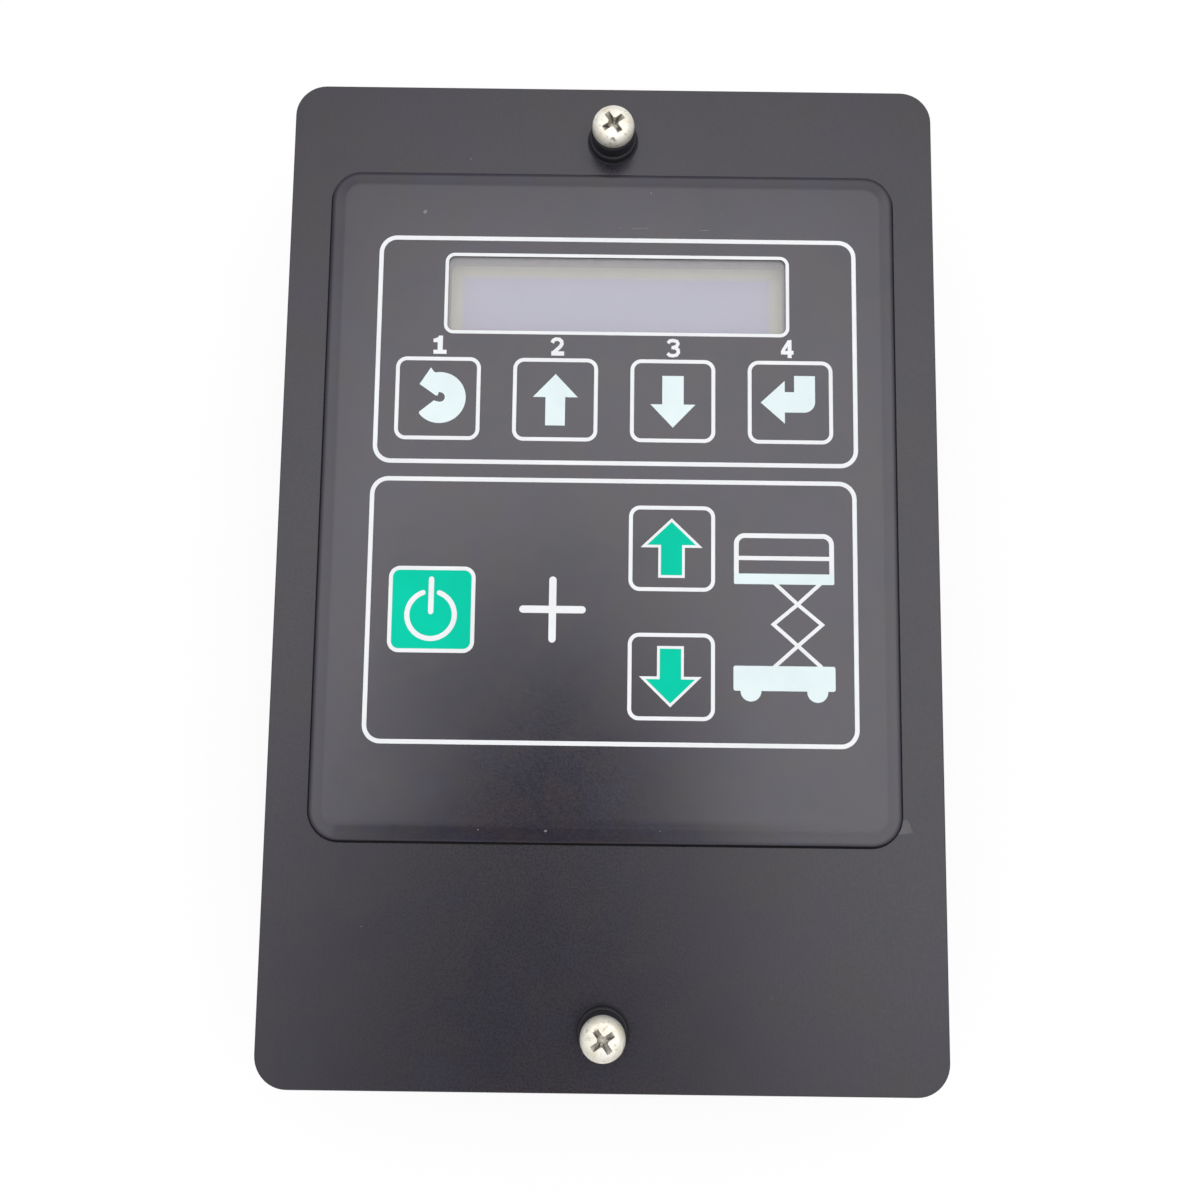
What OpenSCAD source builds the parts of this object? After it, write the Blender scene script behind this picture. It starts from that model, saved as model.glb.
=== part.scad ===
// Ground control box of a scissor lift: a black front plate with a membrane keypad
// and a character display, a moulded rear housing and two captive screws.
// It lies face up. The origin is the middle of the plate's back, +Z leaves the
// front and +Y points to the top end.

/* [Front plate] */
// Width of the front plate
plate_w = 125; // [122:0.5:150]
// Length of the front plate, from its top end to its bottom end
plate_l = 190.5; // [186:0.5:220]
// Thickness of the front plate
plate_t = 3; // [2.6:0.1:5]
// Radius of the plate's corners
plate_corner_r = 6; // [2:0.5:10]
// Width of the broken edge round the plate's front
plate_edge = 0.2; // [0.1:0.1:1]
// Depth of the recess in the plate's back that the gasket lies in
recess_d = 0.5; // [0.2:0.1:0.8]

/* [Captive screws] */
// Distance from the plate's end to the axis of a captive screw
screw_edge = 10.95; // [9:0.05:11.5]
// Diameter of the screw's thread
screw_thread_d = 4.17; // [3:0.01:5]
// Diameter of the thin neck above the thread
screw_neck_d = 3.4; // [2.4:0.1:3.6]
// Diameter of the pan head
screw_head_d = 8.1; // [7:0.1:9]
// Height of the pan head
screw_head_h = 2.5; // [2.2:0.1:4]
// Length of thread behind the plate
screw_reach = 13; // [8:0.5:14]
// Length of one wing of the cross recess, from end to end
recess_wing = 4.6; // [3:0.1:5.5]
// Width of a wing of the cross recess
recess_wing_w = 1; // [0.6:0.1:1.4]
// Depth of the cross recess
recess_wing_d = 1.7; // [1:0.1:1.9]
// Width of the shoulder by which the black collar stands on the plate
collar_shoulder = 0.4; // [0.3:0.1:1.6]
// Height of the collar above the plate
collar_h = 5; // [3.5:0.1:7]
// Thickness of the wall of the collar's shank, which is pressed into the plate
collar_wall_t = 0.6; // [0.4:0.1:0.9]
// Width of the bevel round the collar's top
collar_bevel = 0.7; // [0.3:0.1:0.9]
// Thickness of the collar's top, which stops the retaining ring
collar_lip_t = 1; // [0.6:0.1:1.6]
// Diameter of the retaining ring
ring_d = 6.8; // [6:0.1:7.6]
// Thickness of the retaining ring
ring_t = 1; // [0.6:0.1:1.6]

/* [Overlay] */
// Distance from the plate's side edge to the graphic overlay
overlay_side_gap = 8.25; // [6.5:0.05:11]
// Distance from the plate's top end to the overlay
overlay_top_gap = 18.35; // [16.5:0.05:20]
// Distance from the plate's bottom end to the overlay
overlay_bottom_gap = 44.15; // [38:0.05:48]
// Sideways offset of the overlay from the plate's middle
overlay_x = 0; // [0:0.05:1]
// Radius of the overlay's corners
overlay_corner_r = 5.5; // [4:0.1:8]
// Width of the sloping border
border_w = 2.1; // [1.5:0.1:3.5]
// Height of the border's outer edge
border_edge_t = 0.9; // [0.3:0.05:1.2]
// Thickness of the overlay film
film_t = 0.4; // [0.25:0.05:0.6]
// Thickness of the printed circuit sheet
circuit_t = 0.3; // [0.2:0.05:0.5]
// Thickness of the sheet that holds the domes in place
retainer_t = 0.3; // [0.2:0.05:0.5]
// Thickness of the spacer under the film
spacer_t = 0.5; // [0.45:0.05:0.8]
// Width of the circuit's tail
tail_w = 20; // [12:0.5:24]
// Distance from the overlay's bottom edge to the tail
tail_edge = 8.9; // [8.5:0.1:10]
// Gap between the tail's end and the main board
tail_gap = 6.4; // [3:0.1:8]

/* [Keys] */
// Width of a key pad
key_w = 14.9; // [13:0.1:16]
// Radius of a key pad's corners
key_corner_r = 1.3; // [0.5:0.1:2.5]
// Distance from the overlay's side edge to the outer keys
key_margin = 13.3; // [10:0.05:16]
// Sideways offset of the key columns from the plate's middle
key_x = 0.75; // [0:0.05:1.5]
// Travel of a key
key_travel = 0.4; // [0.2:0.05:0.45]
// Gap between the window and the row of four keys
menu_row_gap = 5.9; // [5:0.05:8]
// Diameter of a snap dome
dome_d = 12; // [8:0.1:12.5]
// Thickness of a snap dome
dome_t = 0.15; // [0.1:0.01:0.2]

/* [Display] */
// Distance from the overlay's side edge to the display window
window_margin = 21.8; // [20:0.05:26]
// Length of the display window
window_l = 14.85; // [13:0.05:16]
// Radius of the window's corners
window_corner_r = 1.2; // [0.5:0.1:2]
// Sideways offset of the window from the plate's middle
window_x = 1.1; // [0:0.05:2]
// Distance from the overlay's top edge to the window
window_gap = 16.95; // [16:0.05:19]
// Width of the window pane's hidden rim
pane_rim = 1.5; // [1.2:0.1:2]
// Distance from a hole's axis to the edge of the display's board
lcd_board_edge = 2.5; // [2:0.1:3]
// Thickness of the display's board
lcd_board_t = 1.6; // [1:0.1:2]
// Sideways distance from the display's metal frame to the board's holes
lcd_ear = 1.85; // [1:0.05:2.5]
// Width of the metal frame's rim beside the window
lcd_side_rim = 3.5; // [3:0.1:5]
// Width of the metal frame's rim above and below the window
lcd_end_rim = 5.8; // [5:0.1:6.5]
// Height of the display's metal frame
lcd_frame_h = 7; // [6:0.1:9]
// Sheet thickness of the display's metal frame
lcd_frame_t = 0.5; // [0.3:0.1:0.8]
// Thickness of the display glass
lcd_glass_t = 2.2; // [1.6:0.1:2.8]
// Width of the ribbon to the main board
ribbon_w = 20; // [10:0.5:24]
// Thickness of the ribbon
ribbon_t = 0.9; // [0.5:0.1:1.2]

/* [Rear housing] */
// Distance from a captive screw's axis to the housing's end
housing_end_gap = 7.3; // [6:0.1:8]
// Distance from the plate's side edge to the housing
housing_side_gap = 7; // [5:0.5:8]
// Depth of the housing behind the plate
housing_d = 45; // [44:0.5:60]
// Thickness of the housing's walls
wall_t = 3; // [2.5:0.1:3.2]
// Thickness of the housing's floor
floor_t = 3.5; // [2.5:0.1:5]
// Radius of the housing's corners
housing_corner_r = 8; // [5:0.5:12]
// Width of the bevel round the housing's back
housing_bevel = 2.5; // [1:0.1:4]
// Depth of the sunk fields in the housing's back
field_d = 1.2; // [0.5:0.1:1.5]
// Width of the ribs between the sunk fields
field_rib = 5; // [3:0.5:8]
// Radius of the fields' corners
field_corner_r = 3; // [1:0.5:5]
// Thickness of the gasket between the housing and the plate
gasket_t = 1.5; // [1:0.1:2.5]
// Thickness of a screw pillar's wall round the screw head
pillar_wall_t = 1.4; // [1:0.1:1.8]
// Distance from the housing's outside to a pillar
pillar_edge = 1.5; // [1.2:0.1:2]
// Thickness of a pillar under the screw head
pillar_shelf_t = 5; // [3:0.5:8]
// Diameter of the screws that hold the housing
housing_screw_d = 4; // [3:0.1:4.2]
// Diameter of their heads
housing_screw_head_d = 7.6; // [6.5:0.1:8]
// Height of their heads
housing_screw_head_h = 2.8; // [2:0.1:3.5]
// Length of their thread inside the standoff
housing_screw_grip = 4.5; // [3:0.1:5.5]
// Diameter of the plate's standoffs
standoff_d = 6; // [5.4:0.1:6.2]
// Length of the standoffs behind the recess
standoff_l = 10.5; // [9.5:0.1:12]
// Diameter of the standoffs' pressed-in heads
standoff_head_d = 8; // [7:0.1:9]
// Thickness of the standoffs' heads
standoff_head_t = 1.5; // [1:0.1:1.7]

/* [Main board] */
// Thickness of the main board
board_t = 1.6; // [1:0.1:2.4]
// Gap between the main board and the side walls
board_side_gap = 2; // [1:0.1:4]
// Height of the posts that carry the main board
post_h = 3.5; // [3:0.1:6]
// Diameter of the posts
post_d = 6.5; // [5.5:0.1:8]
// Diameter of the main board's screws
board_screw_d = 2.5; // [2:0.1:3]
// Diameter of the main board screws' heads
board_screw_head_d = 5.6; // [4.5:0.1:6.5]
// Height of the main board screws' heads
board_screw_head_h = 2.2; // [1.5:0.1:3]
// Width of a relay
relay_w = 15.5; // [12:0.1:17]
// Length of a relay
relay_l = 19; // [15:0.1:20]
// Height of a relay
relay_h = 15.5; // [10:0.1:18]
// Distance between relays
relay_pitch = 20; // [18:0.1:22]
// Diameter of a storage capacitor
capacitor_d = 8; // [5:0.1:9]
// Height of a storage capacitor
capacitor_h = 12; // [8:0.1:16]
// Side of the processor's case
processor_w = 14; // [10:0.1:16]
// Height of the processor's case
processor_h = 1.4; // [1:0.1:2]

/* [Harness headers] */
// Gap between a header's flange and the screw pillar beside it
header_pillar_gap = 6.5; // [2:0.1:8]
// Height of a header's shroud
header_h = 20; // [18:0.1:22]
// Thickness of the shroud's wall
header_wall_t = 1.8; // [1.4:0.1:2.2]
// Radius of the shroud's corners
header_corner_r = 3.2; // [2.5:0.1:4]
// Gap between the two headers' flanges
header_gap = 1; // [0.4:0.1:6]
// How far a header stands out of the end wall
header_reach = 14; // [10:0.5:17]
// Depth of the header's socket
socket_d = 18; // [14:0.5:19]
// Width of the flange round the header
header_lip = 2; // [1.2:0.1:2.6]
// Thickness of the flange
header_flange_t = 2.5; // [1.5:0.1:3]
// Length of the header behind its flange
header_back = 6; // [4:0.5:8]
// Thickness of the seal under the flange
seal_t = 1; // [0.6:0.1:1.5]
// Diameter of a pin
pin_d = 1.5; // [1:0.1:1.8]
// Room between the outer pins' axes and the socket's side walls
pin_side_room = 3.7; // [2.5:0.1:5]
// Distance between the two rows of pins
pin_row_gap = 7; // [5:0.1:9]
// Length of the pins inside the socket
pin_reach = 7; // [5:0.1:7.5]
// Distance between the legs of the two rows
leg_gap = 2; // [1.9:0.1:3]

/* [Hidden] */
$fn = 64;

// Overrun of every cut, and the gaps between pieces that fit together
overrun = 1;
run_gap = 0.05;
fit_gap = 0.1;
ring_gap = 0.2;
free_gap = 0.3;

// Heights of the layers in front of the plate
retainer_z = plate_t + circuit_t;
spacer_z = retainer_z + retainer_t;
film_z = spacer_z + spacer_t;
stack_t = circuit_t + retainer_t + spacer_t;
overlay_h = stack_t + film_t;

// Places on the front
screw_y = plate_l / 2 - screw_edge;
overlay_w = plate_w - 2 * overlay_side_gap;
overlay_l = plate_l - overlay_top_gap - overlay_bottom_gap;
overlay_y = (overlay_bottom_gap - overlay_top_gap) / 2;
window_w = overlay_w - 2 * window_margin;
window_y = overlay_y + (overlay_l - window_l) / 2 - window_gap;
key_pitch = (overlay_w - 2 * key_margin - key_w) / 3;
menu_row_y = window_y - window_l / 2 - menu_row_gap - key_w / 2;
tail_y = overlay_y - overlay_l / 2 + tail_edge;

// Gaps above the raise key and above the lower key, as shares of the overlay's length
// below the row of four that the two keys leave free
raise_gap_share = 0.295;
lower_gap_share = 0.199;
lift_free_l = menu_row_y - key_w / 2 - overlay_y + overlay_l / 2 - 2 * key_w;
raise_y = menu_row_y - key_w - raise_gap_share * lift_free_l;
lower_y = raise_y - key_w - lower_gap_share * lift_free_l;
enable_y = (raise_y + lower_y) / 2;
function column_x(i) = key_x + (i - 1.5) * key_pitch;
menu_at = [column_x(0), menu_row_y];
scroll_up_at = [column_x(1), menu_row_y];
scroll_down_at = [column_x(2), menu_row_y];
enter_at = [column_x(3), menu_row_y];
enable_at = [column_x(0), enable_y];
raise_at = [column_x(2), raise_y];
lower_at = [column_x(2), lower_y];
KEY_PLACES = [
    menu_at, scroll_up_at, scroll_down_at, enter_at, enable_at, raise_at, lower_at
];

// The sheets under the film end where the sloping border is thick enough
stack_inset = border_w + film_t + fit_gap;
stack_w = overlay_w - 2 * stack_inset;
stack_l = overlay_l - 2 * stack_inset;
stack_corner_r = overlay_corner_r - stack_inset;
tail_slot_t = circuit_t + 4 * free_gap;

// Display, from its metal frame backward
lcd_front_z = recess_d - free_gap;
lcd_board_z = lcd_front_z - lcd_frame_h;
lcd_back_z = lcd_board_z - lcd_board_t;
lcd_glass_z = lcd_front_z - lcd_frame_t - fit_gap;
lcd_frame_w = window_w + 2 * lcd_side_rim;
lcd_frame_l = window_l + 2 * lcd_end_rim;
lcd_glass_w = lcd_frame_w - 2 * lcd_frame_t - 2 * fit_gap;
lcd_glass_l = lcd_frame_l - 2 * lcd_frame_t - 2 * fit_gap;
lcd_view_rim = 1.2;
lcd_standoff_d = 4.5;
lcd_hole_w = lcd_frame_w + 2 * lcd_ear;
lcd_hole_l = lcd_frame_l + lcd_standoff_d + 2 * run_gap;
lcd_board_w = lcd_hole_w + 2 * lcd_board_edge;
lcd_board_l = lcd_hole_l + 2 * lcd_board_edge;
lcd_screw_d = 2.2;
lcd_screw_head_d = 4.2;
lcd_screw_head_h = 1.6;
lcd_screw_grip = 4;
ribbon_bend = 5;
ribbon_edge = 4;
socket_h = 5.5;
socket_l = 5;
socket_rim = 2;

// Rear housing and main board
housing_w = plate_w - 2 * housing_side_gap;
housing_l = 2 * (screw_y - housing_end_gap);
rim_z = recess_d - gasket_t;
floor_z = floor_t - housing_d;
board_z = floor_z + post_h;
board_top_z = board_z + board_t;
tail_end_z = board_top_z + tail_gap;
pillar_d = housing_screw_head_d + 2 * (free_gap + pillar_wall_t);
pillar_inset = pillar_d / 2 + pillar_edge;
pillar_x = housing_w / 2 - pillar_inset;
pillar_y = housing_l / 2 - pillar_inset;
PILLARS = [for (x = [-1, 1], y = [-1, 0, 1]) [x * pillar_x, y * pillar_y]];
pillar_top_z = recess_d - standoff_l - fit_gap;
pillar_seat_z = pillar_top_z - pillar_shelf_t;
end_in_y = -(housing_l / 2 - wall_t);
board_end_gap = seal_t + header_flange_t + free_gap;
board_w = housing_w - 2 * (wall_t + board_side_gap);
board_l = housing_l - 2 * (wall_t + board_end_gap);
board_corner_r = 2;
board_pocket_d = 2.5;
post_shares = [
    [-0.42, -0.36], [0.42, -0.36], [-0.42, 0.36], [0.42, 0.36], [0, -0.365], [0, 0.45]
];
field_columns = 2;
field_rows = 3;

// Parts on the main board: rows from the keypad's socket upward, whose places across
// the board are shares of its width
relay_count = 4;
capacitor_shares = [-0.3, -0.1, 0.1, 0.3];
driver_shares = [-0.3, 0.3];
processor_share = -0.3;
regulator_share = 0.3;
resistor_share = 0;
row_gap = 4;
driver_w = 13;
driver_l = 7.5;
driver_h = 2.4;
lead_w = 0.5;
lead_t = 0.25;
lead_l = 1.2;
lead_pitch = 1.05;
regulator_w = 10;
regulator_l = 9;
regulator_h = 4.4;
regulator_tab_t = 1.3;
resistor_w = 1.25;
resistor_l = 2;
resistor_h = 0.6;
resistor_pitch = 3;
resistor_columns = 5;
resistor_rows = 4;
part_bevel = 0.4;
capacitor_crimp = 0.5;
relay_y = tail_y + socket_l / 2 + row_gap + relay_l / 2;
capacitor_y = relay_y + relay_l / 2 + row_gap + capacitor_d / 2;
driver_y = capacitor_y + capacitor_d / 2 + row_gap + driver_l / 2 + lead_l;
processor_y = driver_y + driver_l / 2 + lead_l + row_gap + processor_w / 2 + lead_l;

// Harness headers
header_w = pillar_x - (pillar_d + header_gap) / 2 - header_pillar_gap - 2 * header_lip;
header_x = (header_gap + header_w) / 2 + header_lip;
header_z = board_top_z + header_h / 2;
flange_front_y = end_in_y + seal_t;
flange_back_y = flange_front_y + header_flange_t;
header_back_y = flange_back_y + header_back;
mouth_y = -housing_l / 2 - header_reach;
socket_floor_y = mouth_y + socket_d;
pin_tip_y = socket_floor_y - pin_reach;
pin_columns = 6;
pin_pitch = (header_w - 2 * (header_wall_t + pin_side_room)) / (pin_columns - 1);
latch_w = 6;
latch_l = 4;
latch_h = 1.4;
key_rib_w = 1.6;
key_rib_h = 0.9;

// Captive screws
head_z = plate_t + collar_h;
collar_bore_d = screw_thread_d + 2 * fit_gap;
collar_room_d = ring_d + 2 * ring_gap;
collar_shank_d = collar_room_d + 2 * collar_wall_t;
collar_d = collar_shank_d + 2 * collar_shoulder;
thread_tip = 0.5;

// Shares of a pan head's size: its foot, its side, the round of its crown and its recess
head_foot_share = 0.1;
head_side_share = 0.3;
head_crown_share = 0.45;
wing_w_share = 0.22;
wing_depth_share = 0.55;

// Outlines and solids that repeat

// Rectangle with round corners about the origin
module rounded_rect(w, l, r) {
    square([w - 2 * r, l], center = true);
    square([w, l - 2 * r], center = true);
    for (x = [-1, 1], y = [-1, 1])
        translate([x * (w / 2 - r), y * (l / 2 - r)])
            circle(r = r);
}

module slab(w, l, t, r) {
    linear_extrude(height = t)
        rounded_rect(w, l, r);
}

// Bar along Y with sides that lean in by run while it rises by rise
module leaning_bar(w, l, run, rise) {
    rotate([90, 0, 0])
        linear_extrude(height = l, center = true)
            polygon([[-w / 2, 0], [w / 2, 0], [w / 2 - run, rise], [run - w / 2, rise]]);
}

// Slab whose upper edge leans in by run over a height of rise
module bevelled_slab(w, l, t, r, run, rise) {
    slab(w, l, t - rise, r);
    translate([0, 0, t - rise]) {
        leaning_bar(w, l - 2 * r, run, rise);
        rotate([0, 0, 90])
            leaning_bar(l, w - 2 * r, run, rise);
        for (x = [-1, 1], y = [-1, 1])
            translate([x * (w / 2 - r), y * (l / 2 - r), 0])
                cylinder(h = rise, r1 = r, r2 = r - run);
    }
}

// Slab that stands on edge: it starts at y = 0 and runs toward -Y
module end_slab(w, h, t, r) {
    rotate([90, 0, 0])
        slab(w, h, t, r);
}

module ring(outer_d, inner_d, h) {
    difference() {
        cylinder(h = h, d = outer_d);
        translate([0, 0, -overrun])
            cylinder(h = h + 2 * overrun, d = inner_d);
    }
}

// Half section of a pan head that stands on z = 0
function pan_points(d, h) = concat(
    [[0, 0], [d / 2 - head_foot_share * h, 0]],
    [for (a = [0 : 15 : 90])
        [d / 2 * pow(cos(a), head_crown_share),
         h * (head_side_share + (1 - head_side_share) * sin(a))]]
);

// Wings of a cross recess, cut down from z = 0
module cross_recess(wing, wing_w, depth) {
    for (a = [45, 135])
        rotate([0, 0, a])
            translate([-wing / 2, -wing_w / 2, -depth])
                cube([wing, wing_w, depth + overrun]);
}

module pan_screw(head_d, head_h, shank_d, shank_l, wing) {
    difference() {
        rotate_extrude()
            polygon(pan_points(head_d, head_h));
        translate([0, 0, head_h])
            cross_recess(wing, wing * wing_w_share, head_h * wing_depth_share);
    }
    translate([0, 0, -shank_l])
        cylinder(h = shank_l, d = shank_d);
}

// Piece on the main board, at a share of its width and at a distance from its middle
module on_board(share, y) {
    translate([share * board_w, y, board_top_z])
        children();
}

// Front plate and what is pressed into it

module front_plate() {
    color([0.16, 0.155, 0.165])
        difference() {
            bevelled_slab(plate_w, plate_l, plate_t, plate_corner_r, plate_edge, plate_edge);
            translate([0, 0, recess_d - plate_t])
                slab(housing_w + 2 * free_gap, housing_l + 2 * free_gap, plate_t,
                     housing_corner_r + free_gap);
            for (side = [-1, 1])
                translate([0, side * screw_y, -overrun])
                    cylinder(h = plate_t + 2 * overrun, d = collar_shank_d + 2 * run_gap);
            translate([window_x, window_y, -overrun])
                slab(window_w + pane_rim, window_l + pane_rim, plate_t + 2 * overrun,
                     window_corner_r);
            translate([overlay_x - tail_w / 2 - free_gap, tail_y - tail_slot_t / 2, -overrun])
                cube([tail_w + 2 * free_gap, tail_slot_t, plate_t + 2 * overrun]);
            for (p = PILLARS)
                translate([p[0], p[1], 0])
                    cylinder(h = recess_d + standoff_head_t, d = standoff_head_d + 2 * run_gap);
        }
}

module plate_standoffs() {
    color("silver")
        for (p = PILLARS)
            translate([p[0], p[1], recess_d - standoff_l])
                difference() {
                    union() {
                        cylinder(h = standoff_l, d = standoff_d);
                        translate([0, 0, standoff_l])
                            cylinder(h = standoff_head_t, d = standoff_head_d);
                    }
                    translate([0, 0, -overrun])
                        cylinder(h = standoff_l + overrun, d = housing_screw_d + 2 * run_gap);
                }
}

// Captive screws: each is held by a ring that runs inside a pressed-in collar

module captive_collar() {
    color([0.07, 0.07, 0.075])
        difference() {
            union() {
                cylinder(h = plate_t, d = collar_shank_d);
                translate([0, 0, plate_t]) {
                    cylinder(h = collar_h - collar_bevel, d = collar_d);
                    translate([0, 0, collar_h - collar_bevel])
                        cylinder(h = collar_bevel, d1 = collar_d, d2 = collar_d - 2 * collar_bevel);
                }
            }
            translate([0, 0, -overrun])
                cylinder(h = head_z - collar_lip_t + overrun, d = collar_room_d);
            cylinder(h = head_z + overrun, d = collar_bore_d);
        }
}

module captive_ring() {
    color("ivory")
        translate([0, 0, run_gap])
            ring(ring_d, screw_neck_d + 2 * run_gap, ring_t);
}

module captive_screw() {
    color("silver") {
        translate([0, 0, head_z])
            difference() {
                rotate_extrude()
                    polygon(pan_points(screw_head_d, screw_head_h));
                translate([0, 0, screw_head_h])
                    cross_recess(recess_wing, recess_wing_w, recess_wing_d);
            }
        cylinder(h = head_z, d = screw_neck_d);
        translate([0, 0, thread_tip - screw_reach])
            cylinder(h = screw_reach - thread_tip, d = screw_thread_d);
        translate([0, 0, -screw_reach])
            cylinder(h = thread_tip, d1 = screw_thread_d - 2 * thread_tip, d2 = screw_thread_d);
    }
}

module upper_collar() { translate([0, screw_y, 0]) captive_collar(); }
module lower_collar() { translate([0, -screw_y, 0]) captive_collar(); }
module upper_ring() { translate([0, screw_y, 0]) captive_ring(); }
module lower_ring() { translate([0, -screw_y, 0]) captive_ring(); }
module upper_screw() { translate([0, screw_y, 0]) captive_screw(); }
module lower_screw() { translate([0, -screw_y, 0]) captive_screw(); }

// Membrane keypad, from the film down to the circuit sheet

module graphic_overlay() {
    color([0.13, 0.125, 0.13])
        translate([0, 0, plate_t])
            difference() {
                translate([overlay_x, overlay_y, 0])
                    bevelled_slab(overlay_w, overlay_l, overlay_h, overlay_corner_r,
                                  border_w, overlay_h - border_edge_t);
                translate([overlay_x, overlay_y, -overrun])
                    slab(stack_w + 2 * fit_gap, stack_l + 2 * fit_gap, stack_t + overrun,
                         stack_corner_r + fit_gap);
                translate([window_x, window_y, 0])
                    slab(window_w, window_l, overlay_h + overrun, window_corner_r);
                for (p = KEY_PLACES)
                    translate([p[0], p[1], 0])
                        slab(key_w + 2 * run_gap, key_w + 2 * run_gap, overlay_h + overrun,
                             key_corner_r + run_gap);
            }
}

module display_window() {
    color([0.72, 0.72, 0.8, 0.4])
        translate([window_x, window_y, plate_t])
            slab(window_w + 2 * pane_rim, window_l + 2 * pane_rim, stack_t, window_corner_r);
}

// Sheet under the film, with room for the window pane
module stack_sheet(t) {
    difference() {
        translate([overlay_x, overlay_y, 0])
            slab(stack_w, stack_l, t, stack_corner_r);
        translate([window_x, window_y, -overrun])
            slab(window_w + 2 * (pane_rim + fit_gap), window_l + 2 * (pane_rim + fit_gap),
                 t + 2 * overrun, window_corner_r);
        children();
    }
}

module membrane_circuit() {
    color([0.75, 0.77, 0.72]) {
        translate([0, 0, plate_t])
            stack_sheet(circuit_t);
        translate([overlay_x - tail_w / 2, tail_y - circuit_t / 2, tail_end_z])
            cube([tail_w, circuit_t, plate_t + circuit_t - tail_end_z]);
    }
}

module dome_retainer() {
    color([0.9, 0.9, 0.86])
        translate([0, 0, retainer_z])
            stack_sheet(retainer_t)
                for (p = KEY_PLACES)
                    translate([p[0], p[1], -overrun])
                        cylinder(h = retainer_t + 2 * overrun, d = dome_d + 2 * fit_gap);
}

module key_spacer() {
    color([0.85, 0.84, 0.8])
        translate([0, 0, spacer_z])
            stack_sheet(spacer_t)
                for (p = KEY_PLACES)
                    translate([p[0], p[1], -overrun])
                        slab(key_w + 2 * fit_gap, key_w + 2 * fit_gap, spacer_t + 2 * overrun,
                             key_corner_r + fit_gap);
}

// Height of a dome's outside at a share of its radius
dome_h = retainer_t + spacer_t - run_gap;
function dome_point(share, drop) = [
    share * dome_d / 2, (dome_h - dome_t) * (1 - share * share) + dome_t - drop
];
dome_shares = [0, 0.2, 0.4, 0.6, 0.8, 0.95];

module snap_dome(place) {
    color("goldenrod")
        translate([place[0], place[1], retainer_z])
            rotate_extrude()
                polygon(concat(
                    [for (s = dome_shares) dome_point(s, 0)],
                    [[dome_d / 2, dome_t], [dome_d / 2, 0]],
                    [for (i = [len(dome_shares) - 1 : -1 : 0]) dome_point(dome_shares[i], dome_t)]
                ));
}

module menu_dome() { snap_dome(menu_at); }
module scroll_up_dome() { snap_dome(scroll_up_at); }
module scroll_down_dome() { snap_dome(scroll_down_at); }
module enter_dome() { snap_dome(enter_at); }
module enable_dome() { snap_dome(enable_at); }
module raise_dome() { snap_dome(raise_at); }
module lower_dome() { snap_dome(lower_at); }

module key_pad(place) {
    translate([place[0], place[1], film_z])
        slab(key_w, key_w, film_t, key_corner_r);
}

module menu_key() { color([0.13, 0.125, 0.13]) key_pad(menu_at); }
module scroll_up_key() { color([0.13, 0.125, 0.13]) key_pad(scroll_up_at); }
module scroll_down_key() { color([0.13, 0.125, 0.13]) key_pad(scroll_down_at); }
module enter_key() { color([0.13, 0.125, 0.13]) key_pad(enter_at); }
module enable_key() { color([0.02, 0.6, 0.45]) key_pad(enable_at); }
module raise_key() { color([0.13, 0.125, 0.13]) key_pad(raise_at); }
module lower_key() { color([0.13, 0.125, 0.13]) key_pad(lower_at); }

// Display module behind the window

module at_lcd(z) {
    translate([window_x, window_y, z])
        children();
}

module at_lcd_holes(z) {
    for (x = [-1, 1], y = [-1, 1])
        translate([window_x + x * lcd_hole_w / 2, window_y + y * lcd_hole_l / 2, z])
            children();
}

module centred_box(w, l, h) {
    translate([-w / 2, -l / 2, 0])
        cube([w, l, h]);
}

module lcd_frame() {
    color([0.1, 0.1, 0.11])
        at_lcd(lcd_board_z)
            difference() {
                centred_box(lcd_frame_w, lcd_frame_l, lcd_frame_h);
                translate([0, 0, -overrun])
                    centred_box(lcd_frame_w - 2 * lcd_frame_t, lcd_frame_l - 2 * lcd_frame_t,
                                lcd_frame_h - lcd_frame_t + overrun);
                centred_box(window_w + 2 * lcd_view_rim, window_l + 2 * lcd_view_rim,
                            lcd_frame_h + overrun);
            }
}

module lcd_glass() {
    color([0.7, 0.7, 0.78])
        at_lcd(lcd_glass_z - lcd_glass_t)
            centred_box(lcd_glass_w, lcd_glass_l, lcd_glass_t);
}

// Foam frame between the display's glass and the window pane
module display_gasket() {
    color([0.66, 0.64, 0.6])
        at_lcd(lcd_glass_z)
            difference() {
                slab(window_w + pane_rim - 2 * fit_gap, window_l + pane_rim - 2 * fit_gap,
                     plate_t - lcd_glass_z, window_corner_r);
                translate([0, 0, -overrun])
                    slab(window_w, window_l, plate_t - lcd_glass_z + 2 * overrun, window_corner_r);
            }
}

module lcd_backlight() {
    color([0.9, 0.9, 0.92])
        at_lcd(lcd_board_z)
            centred_box(lcd_glass_w, lcd_glass_l,
                        lcd_frame_h - lcd_frame_t - lcd_glass_t - 2 * fit_gap);
}

module lcd_board() {
    color([0.05, 0.35, 0.2])
        difference() {
            at_lcd(lcd_back_z)
                centred_box(lcd_board_w, lcd_board_l, lcd_board_t);
            at_lcd_holes(lcd_back_z - overrun)
                cylinder(h = lcd_board_t + 2 * overrun, d = lcd_screw_d + 2 * fit_gap);
        }
}

module lcd_standoffs() {
    color("silver")
        at_lcd_holes(lcd_board_z)
            difference() {
                cylinder(h = recess_d - lcd_board_z, d = lcd_standoff_d);
                translate([0, 0, -overrun])
                    cylinder(h = lcd_screw_grip + free_gap + overrun, d = lcd_screw_d + 2 * run_gap);
            }
}

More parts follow.
